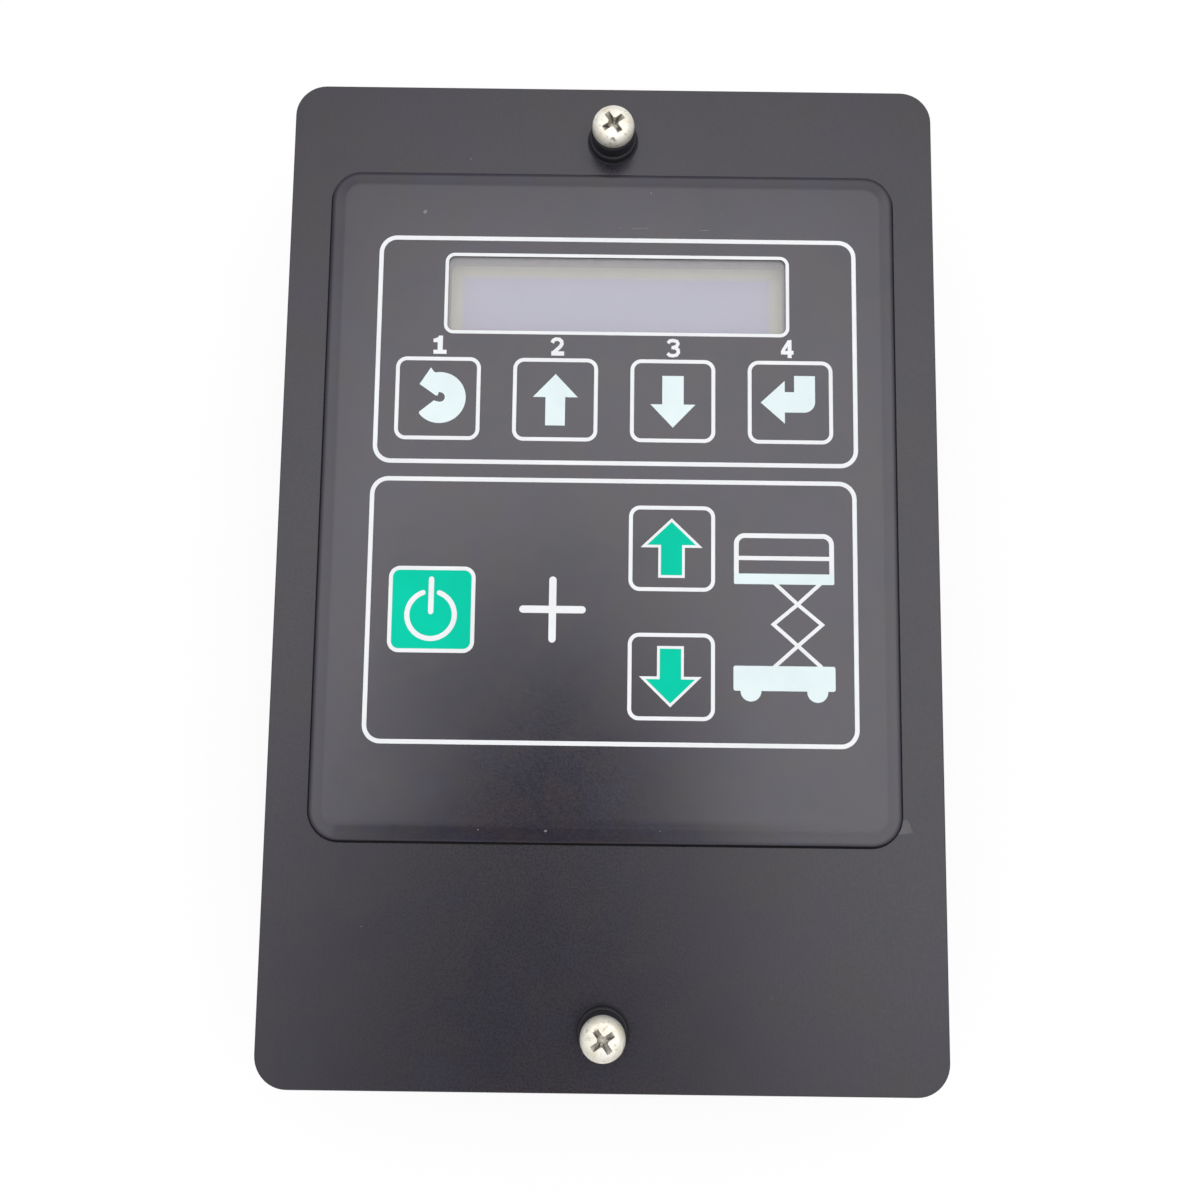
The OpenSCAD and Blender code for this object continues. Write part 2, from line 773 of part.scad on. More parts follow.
module lcd_screws() {
    color("silver")
        at_lcd_holes(lcd_back_z)
            mirror([0, 0, 1])
                pan_screw(lcd_screw_head_d, lcd_screw_head_h, lcd_screw_d,
                          lcd_board_t + lcd_screw_grip, lcd_screw_head_d / 2);
}

// The ribbon leaves the display board's socket and swings over to the main board's
ribbon_y = window_y - lcd_board_l / 2 + ribbon_edge;
ribbon_top_z = lcd_back_z - socket_h;
ribbon_bottom_z = board_top_z + socket_h;
ribbon_steps = 12;
function ribbon_point(share, side) = [
    ribbon_y - ribbon_bend * (1 - cos(180 * share)) / 2 + side * ribbon_t / 2,
    ribbon_top_z + (ribbon_bottom_z - ribbon_top_z) * share
];

module lcd_ribbon() {
    color("gray")
        translate([window_x - ribbon_w / 2, 0, 0])
            rotate([90, 0, 90])
                linear_extrude(height = ribbon_w)
                    polygon(concat(
                        [for (i = [0 : ribbon_steps]) ribbon_point(i / ribbon_steps, -1)],
                        [for (i = [ribbon_steps : -1 : 0]) ribbon_point(i / ribbon_steps, 1)]
                    ));
}

module ribbon_sockets() {
    color([0.15, 0.15, 0.16]) {
        translate([window_x, ribbon_y, ribbon_top_z])
            centred_box(ribbon_w + 2 * socket_rim, socket_l, socket_h);
        translate([window_x, ribbon_y - ribbon_bend, board_top_z])
            centred_box(ribbon_w + 2 * socket_rim, socket_l, socket_h);
    }
}

// Rear housing

module housing_gasket() {
    color([0.08, 0.08, 0.08])
        translate([0, 0, rim_z])
            difference() {
                slab(housing_w, housing_l, gasket_t, housing_corner_r);
                translate([0, 0, -overrun])
                    slab(housing_w - 2 * wall_t, housing_l - 2 * wall_t,
                         gasket_t + 2 * overrun, housing_corner_r - wall_t);
            }
}

// Tray with a bevelled back, open toward the plate
module housing_tray() {
    difference() {
        translate([0, 0, rim_z])
            mirror([0, 0, 1])
                bevelled_slab(housing_w, housing_l, housing_d + rim_z, housing_corner_r,
                              housing_bevel, housing_bevel);
        translate([0, 0, floor_z])
            slab(housing_w - 2 * wall_t, housing_l - 2 * wall_t, housing_d,
                 housing_corner_r - wall_t);
    }
}

// Sunk fields in the back, which leave a grid of ribs to rest on
module back_fields() {
    area_w = housing_w - 2 * (pillar_inset + pillar_d / 2 + field_rib / 2);
    area_l = housing_l - 2 * (housing_bevel + field_rib);
    w = (area_w - (field_columns - 1) * field_rib) / field_columns;
    l = (area_l - (field_rows - 1) * field_rib) / field_rows;
    for (i = [0 : field_columns - 1], j = [0 : field_rows - 1])
        translate([(i - (field_columns - 1) / 2) * (w + field_rib),
                   (j - (field_rows - 1) / 2) * (l + field_rib), -housing_d - overrun])
            slab(w, l, field_d + overrun, field_corner_r);
}

module at_posts(z) {
    for (s = post_shares)
        translate([s[0] * board_w, s[1] * board_l, z])
            children();
}

module rear_housing() {
    color([0.1, 0.1, 0.105])
        difference() {
            union() {
                housing_tray();
                for (p = PILLARS)
                    translate([p[0], p[1], -housing_d + floor_t / 2])
                        cylinder(h = pillar_top_z + housing_d - floor_t / 2, d = pillar_d);
                at_posts(floor_z - floor_t / 2)
                    cylinder(h = post_h + floor_t / 2, d = post_d);
            }
            for (p = PILLARS)
                translate([p[0], p[1], -housing_d - overrun]) {
                    cylinder(h = housing_d + overrun, d = housing_screw_d + 2 * free_gap);
                    cylinder(h = pillar_seat_z + housing_d + overrun,
                             d = housing_screw_head_d + 2 * free_gap);
                }
            at_posts(board_z - board_pocket_d)
                cylinder(h = board_pocket_d + overrun, d = board_screw_d + 2 * run_gap);
            for (side = [-1, 1])
                translate([side * header_x, end_in_y + overrun, header_z])
                    end_slab(header_w + 2 * free_gap, header_h + 2 * free_gap,
                             wall_t + 2 * overrun, header_corner_r + free_gap);
            back_fields();
        }
}

module housing_screws() {
    color("silver")
        for (p = PILLARS)
            translate([p[0], p[1], pillar_seat_z])
                mirror([0, 0, 1])
                    pan_screw(housing_screw_head_d, housing_screw_head_h, housing_screw_d,
                              pillar_shelf_t + fit_gap + housing_screw_grip,
                              housing_screw_head_d / 2);
}

// Main board and its parts

module main_board() {
    color([0.04, 0.32, 0.16])
        translate([0, 0, board_z])
            difference() {
                slab(board_w, board_l, board_t, board_corner_r);
                for (p = PILLARS)
                    translate([p[0], p[1], -overrun])
                        cylinder(h = board_t + 2 * overrun, d = pillar_d + 4 * free_gap);
                at_posts(-overrun)
                    cylinder(h = board_t + 2 * overrun, d = board_screw_d + 2 * free_gap);
                for (side = [-1, 1], row = [0, 1], i = [0 : pin_columns - 1])
                    translate([side * header_x + pin_x(i), leg_y(row), -overrun])
                        cylinder(h = board_t + 2 * overrun, d = pin_d + 2 * run_gap);
            }
}

module board_screws() {
    color("silver")
        at_posts(board_top_z)
            pan_screw(board_screw_head_d, board_screw_head_h, board_screw_d,
                      board_t + board_pocket_d - fit_gap, board_screw_head_d / 2);
}

// Leads along both long sides of a chip of width w, whose rows lie l apart
module chip_leads(w, l) {
    count = floor((w - 2 * lead_w) / lead_pitch);
    for (side = [-1, 1], i = [0 : count - 1])
        translate([(i - (count - 1) / 2) * lead_pitch - lead_w / 2,
                   side * (l + lead_l) / 2 - lead_l / 2, 0])
            cube([lead_w, lead_l, lead_t]);
}

module chip(w, l, h) {
    bevelled_slab(w, l, h, part_bevel * 2, part_bevel, part_bevel);
    chip_leads(w, l);
}

module processor() {
    color([0.12, 0.12, 0.12])
        on_board(processor_share, processor_y) {
            chip(processor_w, processor_w, processor_h);
            rotate([0, 0, 90])
                chip_leads(processor_w, processor_w);
        }
}

module driver_chips() {
    color([0.12, 0.12, 0.12])
        for (s = driver_shares)
            on_board(s, driver_y)
                chip(driver_w, driver_l, driver_h);
}

module voltage_regulator() {
    color([0.15, 0.15, 0.15])
        on_board(regulator_share, processor_y) {
            translate([0, 0, regulator_tab_t / 2])
                bevelled_slab(regulator_w, regulator_l, regulator_h - regulator_tab_t / 2,
                              part_bevel * 2, part_bevel, part_bevel);
            translate([0, regulator_tab_t, 0])
                centred_box(regulator_w, regulator_l, regulator_tab_t);
        }
}

module chip_resistors() {
    color([0.2, 0.2, 0.22])
        on_board(resistor_share, processor_y)
            for (i = [0 : resistor_columns - 1], j = [0 : resistor_rows - 1])
                translate([(i - (resistor_columns - 1) / 2) * resistor_pitch,
                           (j - (resistor_rows - 1) / 2) * resistor_pitch, 0])
                    centred_box(resistor_w, resistor_l, resistor_h);
}

module relays() {
    color([0.1, 0.25, 0.6])
        for (i = [0 : relay_count - 1])
            translate([(i - (relay_count - 1) / 2) * relay_pitch, relay_y, board_top_z])
                bevelled_slab(relay_w, relay_l, relay_h, part_bevel * 3, part_bevel, part_bevel);
}

module capacitors() {
    color([0.15, 0.15, 0.3])
        for (s = capacitor_shares)
            on_board(s, capacitor_y) {
                ring(capacitor_d, capacitor_d / 2, capacitor_crimp);
                translate([0, 0, capacitor_crimp])
                    cylinder(h = capacitor_h - 2 * capacitor_crimp, d = capacitor_d);
                translate([0, 0, capacitor_h - capacitor_crimp])
                    cylinder(h = capacitor_crimp, d1 = capacitor_d,
                             d2 = capacitor_d - 2 * capacitor_crimp);
            }
}

// Upright socket that takes the keypad's tail from above
module keypad_socket() {
    tail_room_w = tail_w + 2 * fit_gap;
    height = tail_gap + socket_h / 2;
    color([0.8, 0.78, 0.7])
        translate([overlay_x, tail_y, board_top_z])
            difference() {
                centred_box(tail_room_w + 2 * socket_rim, socket_l, height);
                translate([0, 0, height - socket_h / 2 - fit_gap])
                    centred_box(tail_room_w, circuit_t + 2 * fit_gap, height);
            }
}

// Harness headers

function pin_x(i) = (i - (pin_columns - 1) / 2) * pin_pitch;
function pin_z(row) = header_z + (row - 0.5) * pin_row_gap;
function leg_y(row) = header_back_y + leg_gap * (row + 1);

module at_header(side, y, z) {
    translate([side * header_x, y, z])
        children();
}

// Ramp that the plug's latch snaps over
module latch_ramp() {
    translate([-latch_w / 2, 0, 0])
        rotate([90, 0, 90])
            linear_extrude(height = latch_w)
                polygon([[0, -overrun / 2], [latch_l, -overrun / 2], [latch_l, latch_h], [0, 0]]);
}

module harness_header(side) {
    color([0.13, 0.13, 0.14])
        difference() {
            union() {
                at_header(side, header_back_y, header_z)
                    end_slab(header_w, header_h, header_back_y - mouth_y, header_corner_r);
                at_header(side, flange_back_y, header_z)
                    end_slab(header_w + 2 * header_lip, header_h + 2 * header_lip,
                             header_flange_t, header_corner_r + header_lip);
                at_header(side, mouth_y + latch_l / 2, header_z + header_h / 2)
                    latch_ramp();
                for (x = [-1, 1])
                    at_header(side, mouth_y, header_z + header_h / 2)
                        translate([x * header_w / 4 - key_rib_w / 2, 0, -key_rib_h])
                            cube([key_rib_w, header_reach - free_gap, 2 * key_rib_h]);
            }
            at_header(side, socket_floor_y, header_z)
                end_slab(header_w - 2 * header_wall_t, header_h - 2 * header_wall_t,
                         socket_d + overrun, header_corner_r - header_wall_t);
            for (row = [0, 1], i = [0 : pin_columns - 1])
                at_header(side, header_back_y + overrun, pin_z(row))
                    translate([pin_x(i), 0, 0])
                        rotate([90, 0, 0])
                            cylinder(h = header_back_y - socket_floor_y + 2 * overrun,
                                     d = pin_d + 2 * run_gap);
        }
}

module left_header() { harness_header(-1); }
module right_header() { harness_header(1); }

module header_seals() {
    color([0.75, 0.35, 0.1])
        for (side = [-1, 1])
            at_header(side, flange_front_y, header_z)
                difference() {
                    end_slab(header_w + 2 * (header_lip - fit_gap),
                             header_h + 2 * (header_lip - fit_gap), seal_t,
                             header_corner_r + header_lip - fit_gap);
                    translate([0, overrun, 0])
                        end_slab(header_w + 2 * fit_gap, header_h + 2 * fit_gap,
                                 seal_t + 2 * overrun, header_corner_r + fit_gap);
                }
}

// Pins run back through the header, then turn down through the board
module header_pins(side) {
    color([0.8, 0.7, 0.4])
        for (row = [0, 1], i = [0 : pin_columns - 1])
            translate([side * header_x + pin_x(i), 0, 0]) {
                translate([0, leg_y(row), pin_z(row)]) {
                    rotate([90, 0, 0])
                        cylinder(h = leg_y(row) - pin_tip_y, d = pin_d);
                    sphere(d = pin_d);
                }
                translate([0, leg_y(row), board_z - pin_d])
                    cylinder(h = pin_z(row) - board_z + pin_d, d = pin_d);
            }
}

module left_header_pins() { header_pins(-1); }
module right_header_pins() { header_pins(1); }

front_plate();
graphic_overlay();
display_window();
membrane_circuit();
dome_retainer();
key_spacer();
menu_dome();
scroll_up_dome();
scroll_down_dome();
enter_dome();
enable_dome();
raise_dome();
lower_dome();
menu_key();
scroll_up_key();
scroll_down_key();
enter_key();
enable_key();
raise_key();
lower_key();
lcd_frame();
lcd_glass();
lcd_backlight();
display_gasket();
lcd_board();
lcd_standoffs();
lcd_screws();
lcd_ribbon();
ribbon_sockets();
plate_standoffs();
housing_gasket();
rear_housing();
housing_screws();
main_board();
board_screws();
processor();
driver_chips();
voltage_regulator();
chip_resistors();
relays();
capacitors();
keypad_socket();
left_header();
right_header();
header_seals();
left_header_pins();
right_header_pins();
upper_collar();
lower_collar();
upper_ring();
lower_ring();
upper_screw();
lower_screw();
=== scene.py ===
import math
import random

import bmesh
import bpy
from mathutils import Matrix, Vector


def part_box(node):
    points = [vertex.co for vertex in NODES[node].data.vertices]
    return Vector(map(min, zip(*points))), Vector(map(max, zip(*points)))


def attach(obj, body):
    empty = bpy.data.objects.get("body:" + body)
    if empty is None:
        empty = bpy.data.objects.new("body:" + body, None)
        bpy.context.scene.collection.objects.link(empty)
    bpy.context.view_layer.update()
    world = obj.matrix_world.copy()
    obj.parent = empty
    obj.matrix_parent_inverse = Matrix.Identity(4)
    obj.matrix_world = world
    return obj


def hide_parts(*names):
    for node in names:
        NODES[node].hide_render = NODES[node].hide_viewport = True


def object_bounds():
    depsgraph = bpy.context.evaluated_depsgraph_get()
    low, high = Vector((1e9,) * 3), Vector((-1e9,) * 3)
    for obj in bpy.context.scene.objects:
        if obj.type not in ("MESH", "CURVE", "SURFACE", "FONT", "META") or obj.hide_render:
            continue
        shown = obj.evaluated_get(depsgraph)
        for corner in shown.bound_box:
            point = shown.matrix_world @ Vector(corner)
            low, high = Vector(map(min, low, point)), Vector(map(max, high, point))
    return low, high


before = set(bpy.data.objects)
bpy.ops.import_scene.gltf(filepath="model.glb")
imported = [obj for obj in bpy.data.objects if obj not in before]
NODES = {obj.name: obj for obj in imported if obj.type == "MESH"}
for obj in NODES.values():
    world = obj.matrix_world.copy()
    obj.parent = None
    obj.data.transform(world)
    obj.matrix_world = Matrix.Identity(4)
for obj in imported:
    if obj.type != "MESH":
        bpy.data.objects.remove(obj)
cad_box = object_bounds()
MM = 0.001
WHITE = (1, 1, 1, 1)
rng = random.Random(7)

# Camera, fitted to the plate's edges in the photograph
CAMERA_AT = (-1.360, -30.753, 217.245)
CAMERA_TURN = (0.11363, -0.001145, 0.012506)
LENS = 34.5
SENSOR_W = 36.0
NEAR_CLIP = 10

camera_data = bpy.data.cameras.new("camera")
camera_data.lens = LENS
camera_data.sensor_width = SENSOR_W
camera_data.clip_start = NEAR_CLIP * MM
camera = bpy.data.objects.new("camera", camera_data)
camera.location = [c * MM for c in CAMERA_AT]
camera.rotation_euler = CAMERA_TURN
bpy.context.scene.collection.objects.link(camera)
bpy.context.scene.camera = camera


# Places of the CAD nodes, in mm

def span(name):
    """A node's middle (x, y), its size (width, length), and its bottom and top."""
    low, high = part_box(name)
    middle = ((low.x + high.x) / 2 / MM, (low.y + high.y) / 2 / MM)
    return middle, ((high.x - low.x) / MM, (high.y - low.y) / MM), (low.z / MM, high.z / MM)


PLATE_Z = span("front_plate")[2][1]
FILM_Z = span("menu_key")[2][1]
(_, SCREW_Y), (HEAD_D, _), (TIP_Z, HEAD_TOP) = span("upper_screw")
_, (COLLAR_D, _), (_, HEAD_Z) = span("upper_collar")

# The printed signs were measured on the plate's face. Seen from the camera they lie
# a little nearer its foot point, because the film is higher.
FOOT = (-1.4, -29.3)
FILM_SHARE = 0.99294


def on_film(p):
    return (FOOT[0] + (p[0] - FOOT[0]) * FILM_SHARE, FOOT[1] + (p[1] - FOOT[1]) * FILM_SHARE)


# Node helpers

def new_material(name):
    m = bpy.data.materials.new(name)
    m.use_nodes = True
    nt = m.node_tree
    return m, nt, nt.nodes["Principled BSDF"]


def node(nt, kind, **values):
    n = nt.nodes.new(kind)
    for key, value in values.items():
        if key in n.inputs:
            n.inputs[key].default_value = value
        else:
            setattr(n, key, value)
    return n


def object_coord(nt):
    return node(nt, "ShaderNodeTexCoord").outputs["Object"]


NOISE_ROUGHNESS = 0.55


def noise(nt, coord, scale, detail=3.0):
    n = node(nt, "ShaderNodeTexNoise", Scale=scale, Detail=detail, Roughness=NOISE_ROUGHNESS)
    nt.links.new(coord, n.inputs["Vector"])
    return n.outputs["Fac"]


def spread(nt, value, low, high, to_low, to_high):
    """Maps a value from one range to another, and clamps it there."""
    n = node(nt, "ShaderNodeMapRange")
    n.inputs["From Min"].default_value = low
    n.inputs["From Max"].default_value = high
    n.inputs["To Min"].default_value = to_low
    n.inputs["To Max"].default_value = to_high
    nt.links.new(value, n.inputs["Value"])
    return n.outputs["Result"]


def mixed(nt, fac, a, b):
    """Mix of two colours, each a tuple or a socket."""
    n = node(nt, "ShaderNodeMix", data_type="RGBA")
    nt.links.new(fac, n.inputs["Factor"])
    for socket, value in (("A", a), ("B", b)):
        target = [i for i in n.inputs if i.name == socket and i.type == "RGBA"][0]
        if isinstance(value, tuple):
            target.default_value = (*value[:3], 1.0)
        else:
            nt.links.new(value, target)
    return [o for o in n.outputs if o.type == "RGBA"][0]


def maths(nt, kind, a, b=None):
    """Math node of one or two values, each a number or a socket."""
    n = node(nt, "ShaderNodeMath", operation=kind)
    for socket, value in zip(n.inputs, (a, b)):
        if isinstance(value, (int, float)):
            socket.default_value = value
        elif value is not None:
            nt.links.new(value, socket)
    return n.outputs[0]


def bumped(nt, shader, height, strength, depth):
    """Bump of that depth in mm."""
    n = node(nt, "ShaderNodeBump", Strength=strength, Distance=depth * MM)
    nt.links.new(height, n.inputs["Height"])
    nt.links.new(n.outputs["Normal"], shader.inputs["Normal"])


# Finishes

CLOUD_RANGE = (0.35, 0.65)
PATCH_RANGE = (0.42, 0.62)
MIDDLE_RANGE = (0.3, 0.7)
TINT_SCALE = 3.1
COAT_ROUGHNESS = 0.1


def finish(name, base, rough, metal=0.0, cloud=0.12, cloud_scale=60, grain=900, bump=0.15,
           depth=0.03, rough_range=0.08, coat=0.0, specular=0.5, tint=None):
    """General finish: cloudy colour, fine grain and uneven roughness."""
    m, nt, sh = new_material(name)
    coord = object_coord(nt)
    dark = tuple(c * (1 - cloud) for c in base)
    light = tuple(min(1.0, c * (1 + cloud)) for c in base)
    clouds = spread(nt, noise(nt, coord, cloud_scale), *CLOUD_RANGE, 0.0, 1.0)
    colour = mixed(nt, clouds, dark, light)
    if tint:
        patches = noise(nt, coord, cloud_scale * TINT_SCALE, 1.0)
        colour = mixed(nt, spread(nt, patches, *PATCH_RANGE, 0.0, 1.0), colour, tint)
    nt.links.new(colour, sh.inputs["Base Color"])
    fine = noise(nt, coord, grain, 2.0)
    roughness = spread(nt, fine, *MIDDLE_RANGE, rough - rough_range, rough + rough_range)
    nt.links.new(roughness, sh.inputs["Roughness"])
    sh.inputs["Metallic"].default_value = metal
    sh.inputs["Specular IOR Level"].default_value = specular
    if coat:
        sh.inputs["Coat Weight"].default_value = coat
        sh.inputs["Coat Roughness"].default_value = COAT_ROUGHNESS
    bumped(nt, sh, fine, bump, depth)
    return m


def printed(name, base):
    """Ink of the printed signs."""
    return finish(name, base, 0.45, cloud=0.03, cloud_scale=120, grain=3000, bump=0.1,
                  depth=0.01, specular=0.3)


PLATE = finish("powder_coat", (0.0168, 0.0145, 0.0245), 0.28, cloud_scale=35, grain=2600,
               bump=0.25, depth=0.02, rough_range=0.05, specular=0.42,
               tint=(0.0188, 0.0155, 0.0215))
FILM = finish("printed_film", (0.0210, 0.0185, 0.0320), 0.20, cloud=0.2, cloud_scale=42,
              grain=2600, bump=0.04, depth=0.01, rough_range=0.04, specular=0.53,
              tint=(0.0255, 0.0205, 0.0285))
GREEN = finish("green_film", (0.001, 0.575, 0.375), 0.36, cloud=0.05, grain=4200, bump=0.1,
               depth=0.01, specular=0.03)
WHITE_INK = printed("white_ink", (0.81, 0.83, 0.84))
PALE_INK = printed("pale_ink", (0.73, 0.845, 0.855))
MARK = finish("fleck_grey", (0.16, 0.155, 0.16), 0.6, cloud=0.3, cloud_scale=900, grain=3000,
              bump=0.2, depth=0.01)
RESIDUE = finish("glue_residue", (0.052, 0.049, 0.058), 0.30, cloud=0.2, cloud_scale=900,
                 grain=2600, bump=0.2, depth=0.01)
# Near-black sheet for the line round the overlay: painted shade of the gap at the film's edge.
EDGE = finish("film_edge_shade", (0.005, 0.005, 0.006), 0.9, cloud=0.15, cloud_scale=300,
              grain=2500, bump=0.2, depth=0.02, specular=0.3)
FOAM = finish("gasket_foam", (0.42, 0.40, 0.36), 0.85, cloud=0.08, cloud_scale=500,
              grain=2600, bump=0.5, depth=0.04)
NYLON = finish("collar_nylon", (0.022, 0.021, 0.026), 0.36, cloud=0.15, cloud_scale=400,
               grain=2500, bump=0.2, depth=0.02)
HOUSING = finish("housing_plastic", (0.030, 0.030, 0.033), 0.52, cloud_scale=50, grain=1500,
                 bump=0.6, depth=0.05)
HEADER = finish("header_plastic", (0.022, 0.022, 0.025), 0.42, cloud_scale=90, grain=1800,
                bump=0.35)
RUBBER = finish("gasket_rubber", (0.020, 0.020, 0.021), 0.75, cloud=0.2, cloud_scale=200,
                grain=1400, bump=0.6, depth=0.05)
SEAL = finish("seal_silicone", (0.50, 0.13, 0.025), 0.5, cloud=0.1, cloud_scale=200)
ZINC = finish("zinc_steel", (0.62, 0.62, 0.60), 0.34, metal=1.0, cloud_scale=500, grain=2500,
              bump=0.2, depth=0.02)
DOME = finish("dome_steel", (0.70, 0.67, 0.60), 0.26, metal=1.0, cloud=0.08, cloud_scale=300)
PINS = finish("pin_gold", (0.76, 0.58, 0.28), 0.28, metal=1.0, cloud_scale=600)
RING = finish("ring_nylon", (0.72, 0.70, 0.62), 0.45, cloud=0.06, cloud_scale=300)
SHEET = finish("clear_sheet", (0.55, 0.57, 0.52), 0.4, cloud=0.06, cloud_scale=120)
BOARD = finish("solder_resist", (0.012, 0.13, 0.055), 0.3, cloud=0.25, cloud_scale=350,
               coat=0.4)
CHIP = finish("chip_epoxy", (0.022, 0.022, 0.023), 0.5, cloud=0.15, cloud_scale=300)
RELAY = finish("relay_case", (0.02, 0.09, 0.34), 0.35, cloud=0.06, cloud_scale=200)
CAN = finish("capacitor_sleeve", (0.05, 0.05, 0.12), 0.35, cloud=0.1, cloud_scale=300)
SOCKET = finish("socket_nylon", (0.035, 0.035, 0.038), 0.5, cloud=0.1, cloud_scale=300)
RIBBON = finish("ribbon_cover", (0.42, 0.42, 0.42), 0.5, cloud=0.08, cloud_scale=400)
LCD_METAL = finish("lcd_metal", (0.02, 0.02, 0.022), 0.38, cloud=0.1, cloud_scale=200)
DIFFUSER = finish("diffuser", (0.8, 0.8, 0.82), 0.5, cloud=0.03, cloud_scale=100)


# Outlines, in mm

def rounded(cx, cy, w, l, r, steps=6):
    """Rectangle with round corners, from its middle."""
    pts = []
    for sx, sy, a0 in ((1, 1, 0), (-1, 1, 90), (-1, -1, 180), (1, -1, 270)):
        for i in range(steps + 1):
            a = math.radians(a0 + 90 * i / steps)
            pts.append((cx + sx * (w / 2 - r) + r * math.cos(a),
                        cy + sy * (l / 2 - r) + r * math.sin(a)))
    return pts


def arc(cx, cy, r, start, end, steps):
    return [(cx + r * math.cos(math.radians(start + (end - start) * i / steps)),
             cy + r * math.sin(math.radians(start + (end - start) * i / steps)))
            for i in range(steps + 1)]


LEAST_LEAN = 0.35
END_STEPS = 8


def round_end(tip, inner, width):
    """Half circle round the tip of a pen line that comes from the inner point."""
    d = (tip - inner).normalized()
    a = math.degrees(math.atan2(d.y, d.x))
    return arc(tip.x, tip.y, width / 2, a + 90, a - 90, END_STEPS)[1:-1]


def stroke(points, width, round_ends=False):
    """Outline of a pen line of that width along the points, with mitred corners."""
    pts = [Vector(p) for p in points]
    left, right = [], []
    for i, p in enumerate(pts):
        before = (p - pts[i - 1]).normalized() if i else None
        after = (pts[i + 1] - p).normalized() if i + 1 < len(pts) else None
        d = ((before or after) + (after or before)).normalized()
        side = Vector((-d.y, d.x))
        lean = side.dot(Vector((-(after or before).y, (after or before).x)))
        reach = width / 2 / max(lean, LEAST_LEAN)
        left.append(p + side * reach)
        right.append(p - side * reach)
    loop = [tuple(p) for p in left]
    if round_ends:
        loop += round_end(pts[-1], pts[-2], width)
    loop += [tuple(p) for p in reversed(right)]
    if round_ends:
        loop += round_end(pts[0], pts[1], width)
    return loop


# Meshes, made in mm

def solid(name, verts, faces):
    """Closed mesh with its faces turned outward."""
    mesh = bpy.data.meshes.new(name)
    mesh.from_pydata([(x * MM, y * MM, z * MM) for x, y, z in verts], [], faces)
    bm = bmesh.new()
    bm.from_mesh(mesh)
    bmesh.ops.recalc_face_normals(bm, faces=bm.faces)
    bm.to_mesh(mesh)
    bm.free()
    return mesh


def stack(name, outlines):
    """Closed solid lofted through outlines of equal length: (points, height)."""
    count = len(outlines[0][0])
    verts = [(x, y, h) for pts, h in outlines for x, y in pts]
    faces = []
    for k in range(len(outlines) - 1):
        for i in range(count):
            j = (i + 1) % count
            a, b = k * count, (k + 1) * count
            faces.append((a + i, a + j, b + j, b + i))
    faces.append(tuple(reversed(range(count))))
    faces.append(tuple(range(len(verts) - count, len(verts))))
    return solid(name, verts, faces)


ON_AXIS = 1e-6


def lathe(name, profile, steps, z=0.0, y=0.0):
    """Closed solid of revolution from (radius, height) points."""
    verts, faces, rings = [], [], []
    for r, h in profile:
        if r < ON_AXIS:
            rings.append([len(verts)])
            verts.append((0.0, y, z + h))
        else:
            rings.append(list(range(len(verts), len(verts) + steps)))
            verts += [(r * math.cos(a), y + r * math.sin(a), z + h)
                      for a in (2 * math.pi * i / steps for i in range(steps))]
    for a, b in zip(rings, rings[1:]):
        for i in range(steps):
            j = (i + 1) % steps
            if len(a) == 1 and len(b) > 1:
                faces.append((a[0], b[i], b[j]))
            elif len(b) == 1 and len(a) > 1:
                faces.append((a[i], a[j], b[0]))
            elif len(a) > 1:
                faces.append((a[i], a[j], b[j], b[i]))
    return solid(name, verts, faces)


def moved(mesh, x, y, z):
    mesh.transform(Matrix.Translation((x * MM, y * MM, z * MM)))
    return mesh


def filled(name, loops, z, height):
    """Flat shape from closed loops, with the inner ones as holes."""
    curve = bpy.data.curves.new(name, "CURVE")
    curve.dimensions = "2D"
    curve.fill_mode = "BOTH"
    curve.extrude = height / 2 * MM
    for loop in loops:
        s = curve.splines.new("POLY")
        s.points.add(len(loop) - 1)
        for point, (x, y) in zip(s.points, loop):
            point.co = (x * MM, y * MM, 0.0, 1.0)
        s.use_cyclic_u = True
    source = bpy.data.objects.new(name + "_curve", curve)
    bpy.context.scene.collection.objects.link(source)
    bpy.context.view_layer.update()
    deps = bpy.context.evaluated_depsgraph_get()
    mesh = bpy.data.meshes.new_from_object(source.evaluated_get(deps))
    bpy.data.objects.remove(source)
    bpy.data.curves.remove(curve)
    return moved(mesh, 0, 0, z + height / 2)


def joined(name, meshes):
    """One mesh from several, which it uses up."""
    bm = bmesh.new()
    for mesh in meshes:
        bm.from_mesh(mesh)
        bpy.data.meshes.remove(mesh)
    out = bpy.data.meshes.new(name)
    bm.to_mesh(out)
    bm.free()
    return out


def carved(mesh, cutters, name):
    """The mesh with the cutter meshes taken out of it."""
    body = bpy.data.objects.new(name + "_whole", mesh)
    bpy.context.scene.collection.objects.link(body)
    tools = []
    for cutter in cutters:
        tool = bpy.data.objects.new(name + "_tool", cutter)
        bpy.context.scene.collection.objects.link(tool)
        tools.append(tool)
        cut = body.modifiers.new("cut", "BOOLEAN")
        cut.operation = "DIFFERENCE"
        cut.solver = "EXACT"
        cut.object = tool
    bpy.context.view_layer.update()
    deps = bpy.context.evaluated_depsgraph_get()
    out = bpy.data.meshes.new_from_object(body.evaluated_get(deps))
    out.name = name
    for o in tools + [body]:
        bpy.data.objects.remove(o)
    return out


def piece(name, mesh, body, material, smooth=None):
    """Piece of the visual model, smooth below that angle in degrees."""
    obj = bpy.data.objects.new(name, mesh)
    bpy.context.scene.collection.objects.link(obj)
    mesh.materials.clear()
    mesh.materials.append(material)
    if smooth is not None:
        mesh.shade_smooth()
        mesh.set_sharp_from_angle(angle=math.radians(smooth))
    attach(obj, body)
    return obj


# Captive screws. The foot of the head is (distance in from its edge, height).

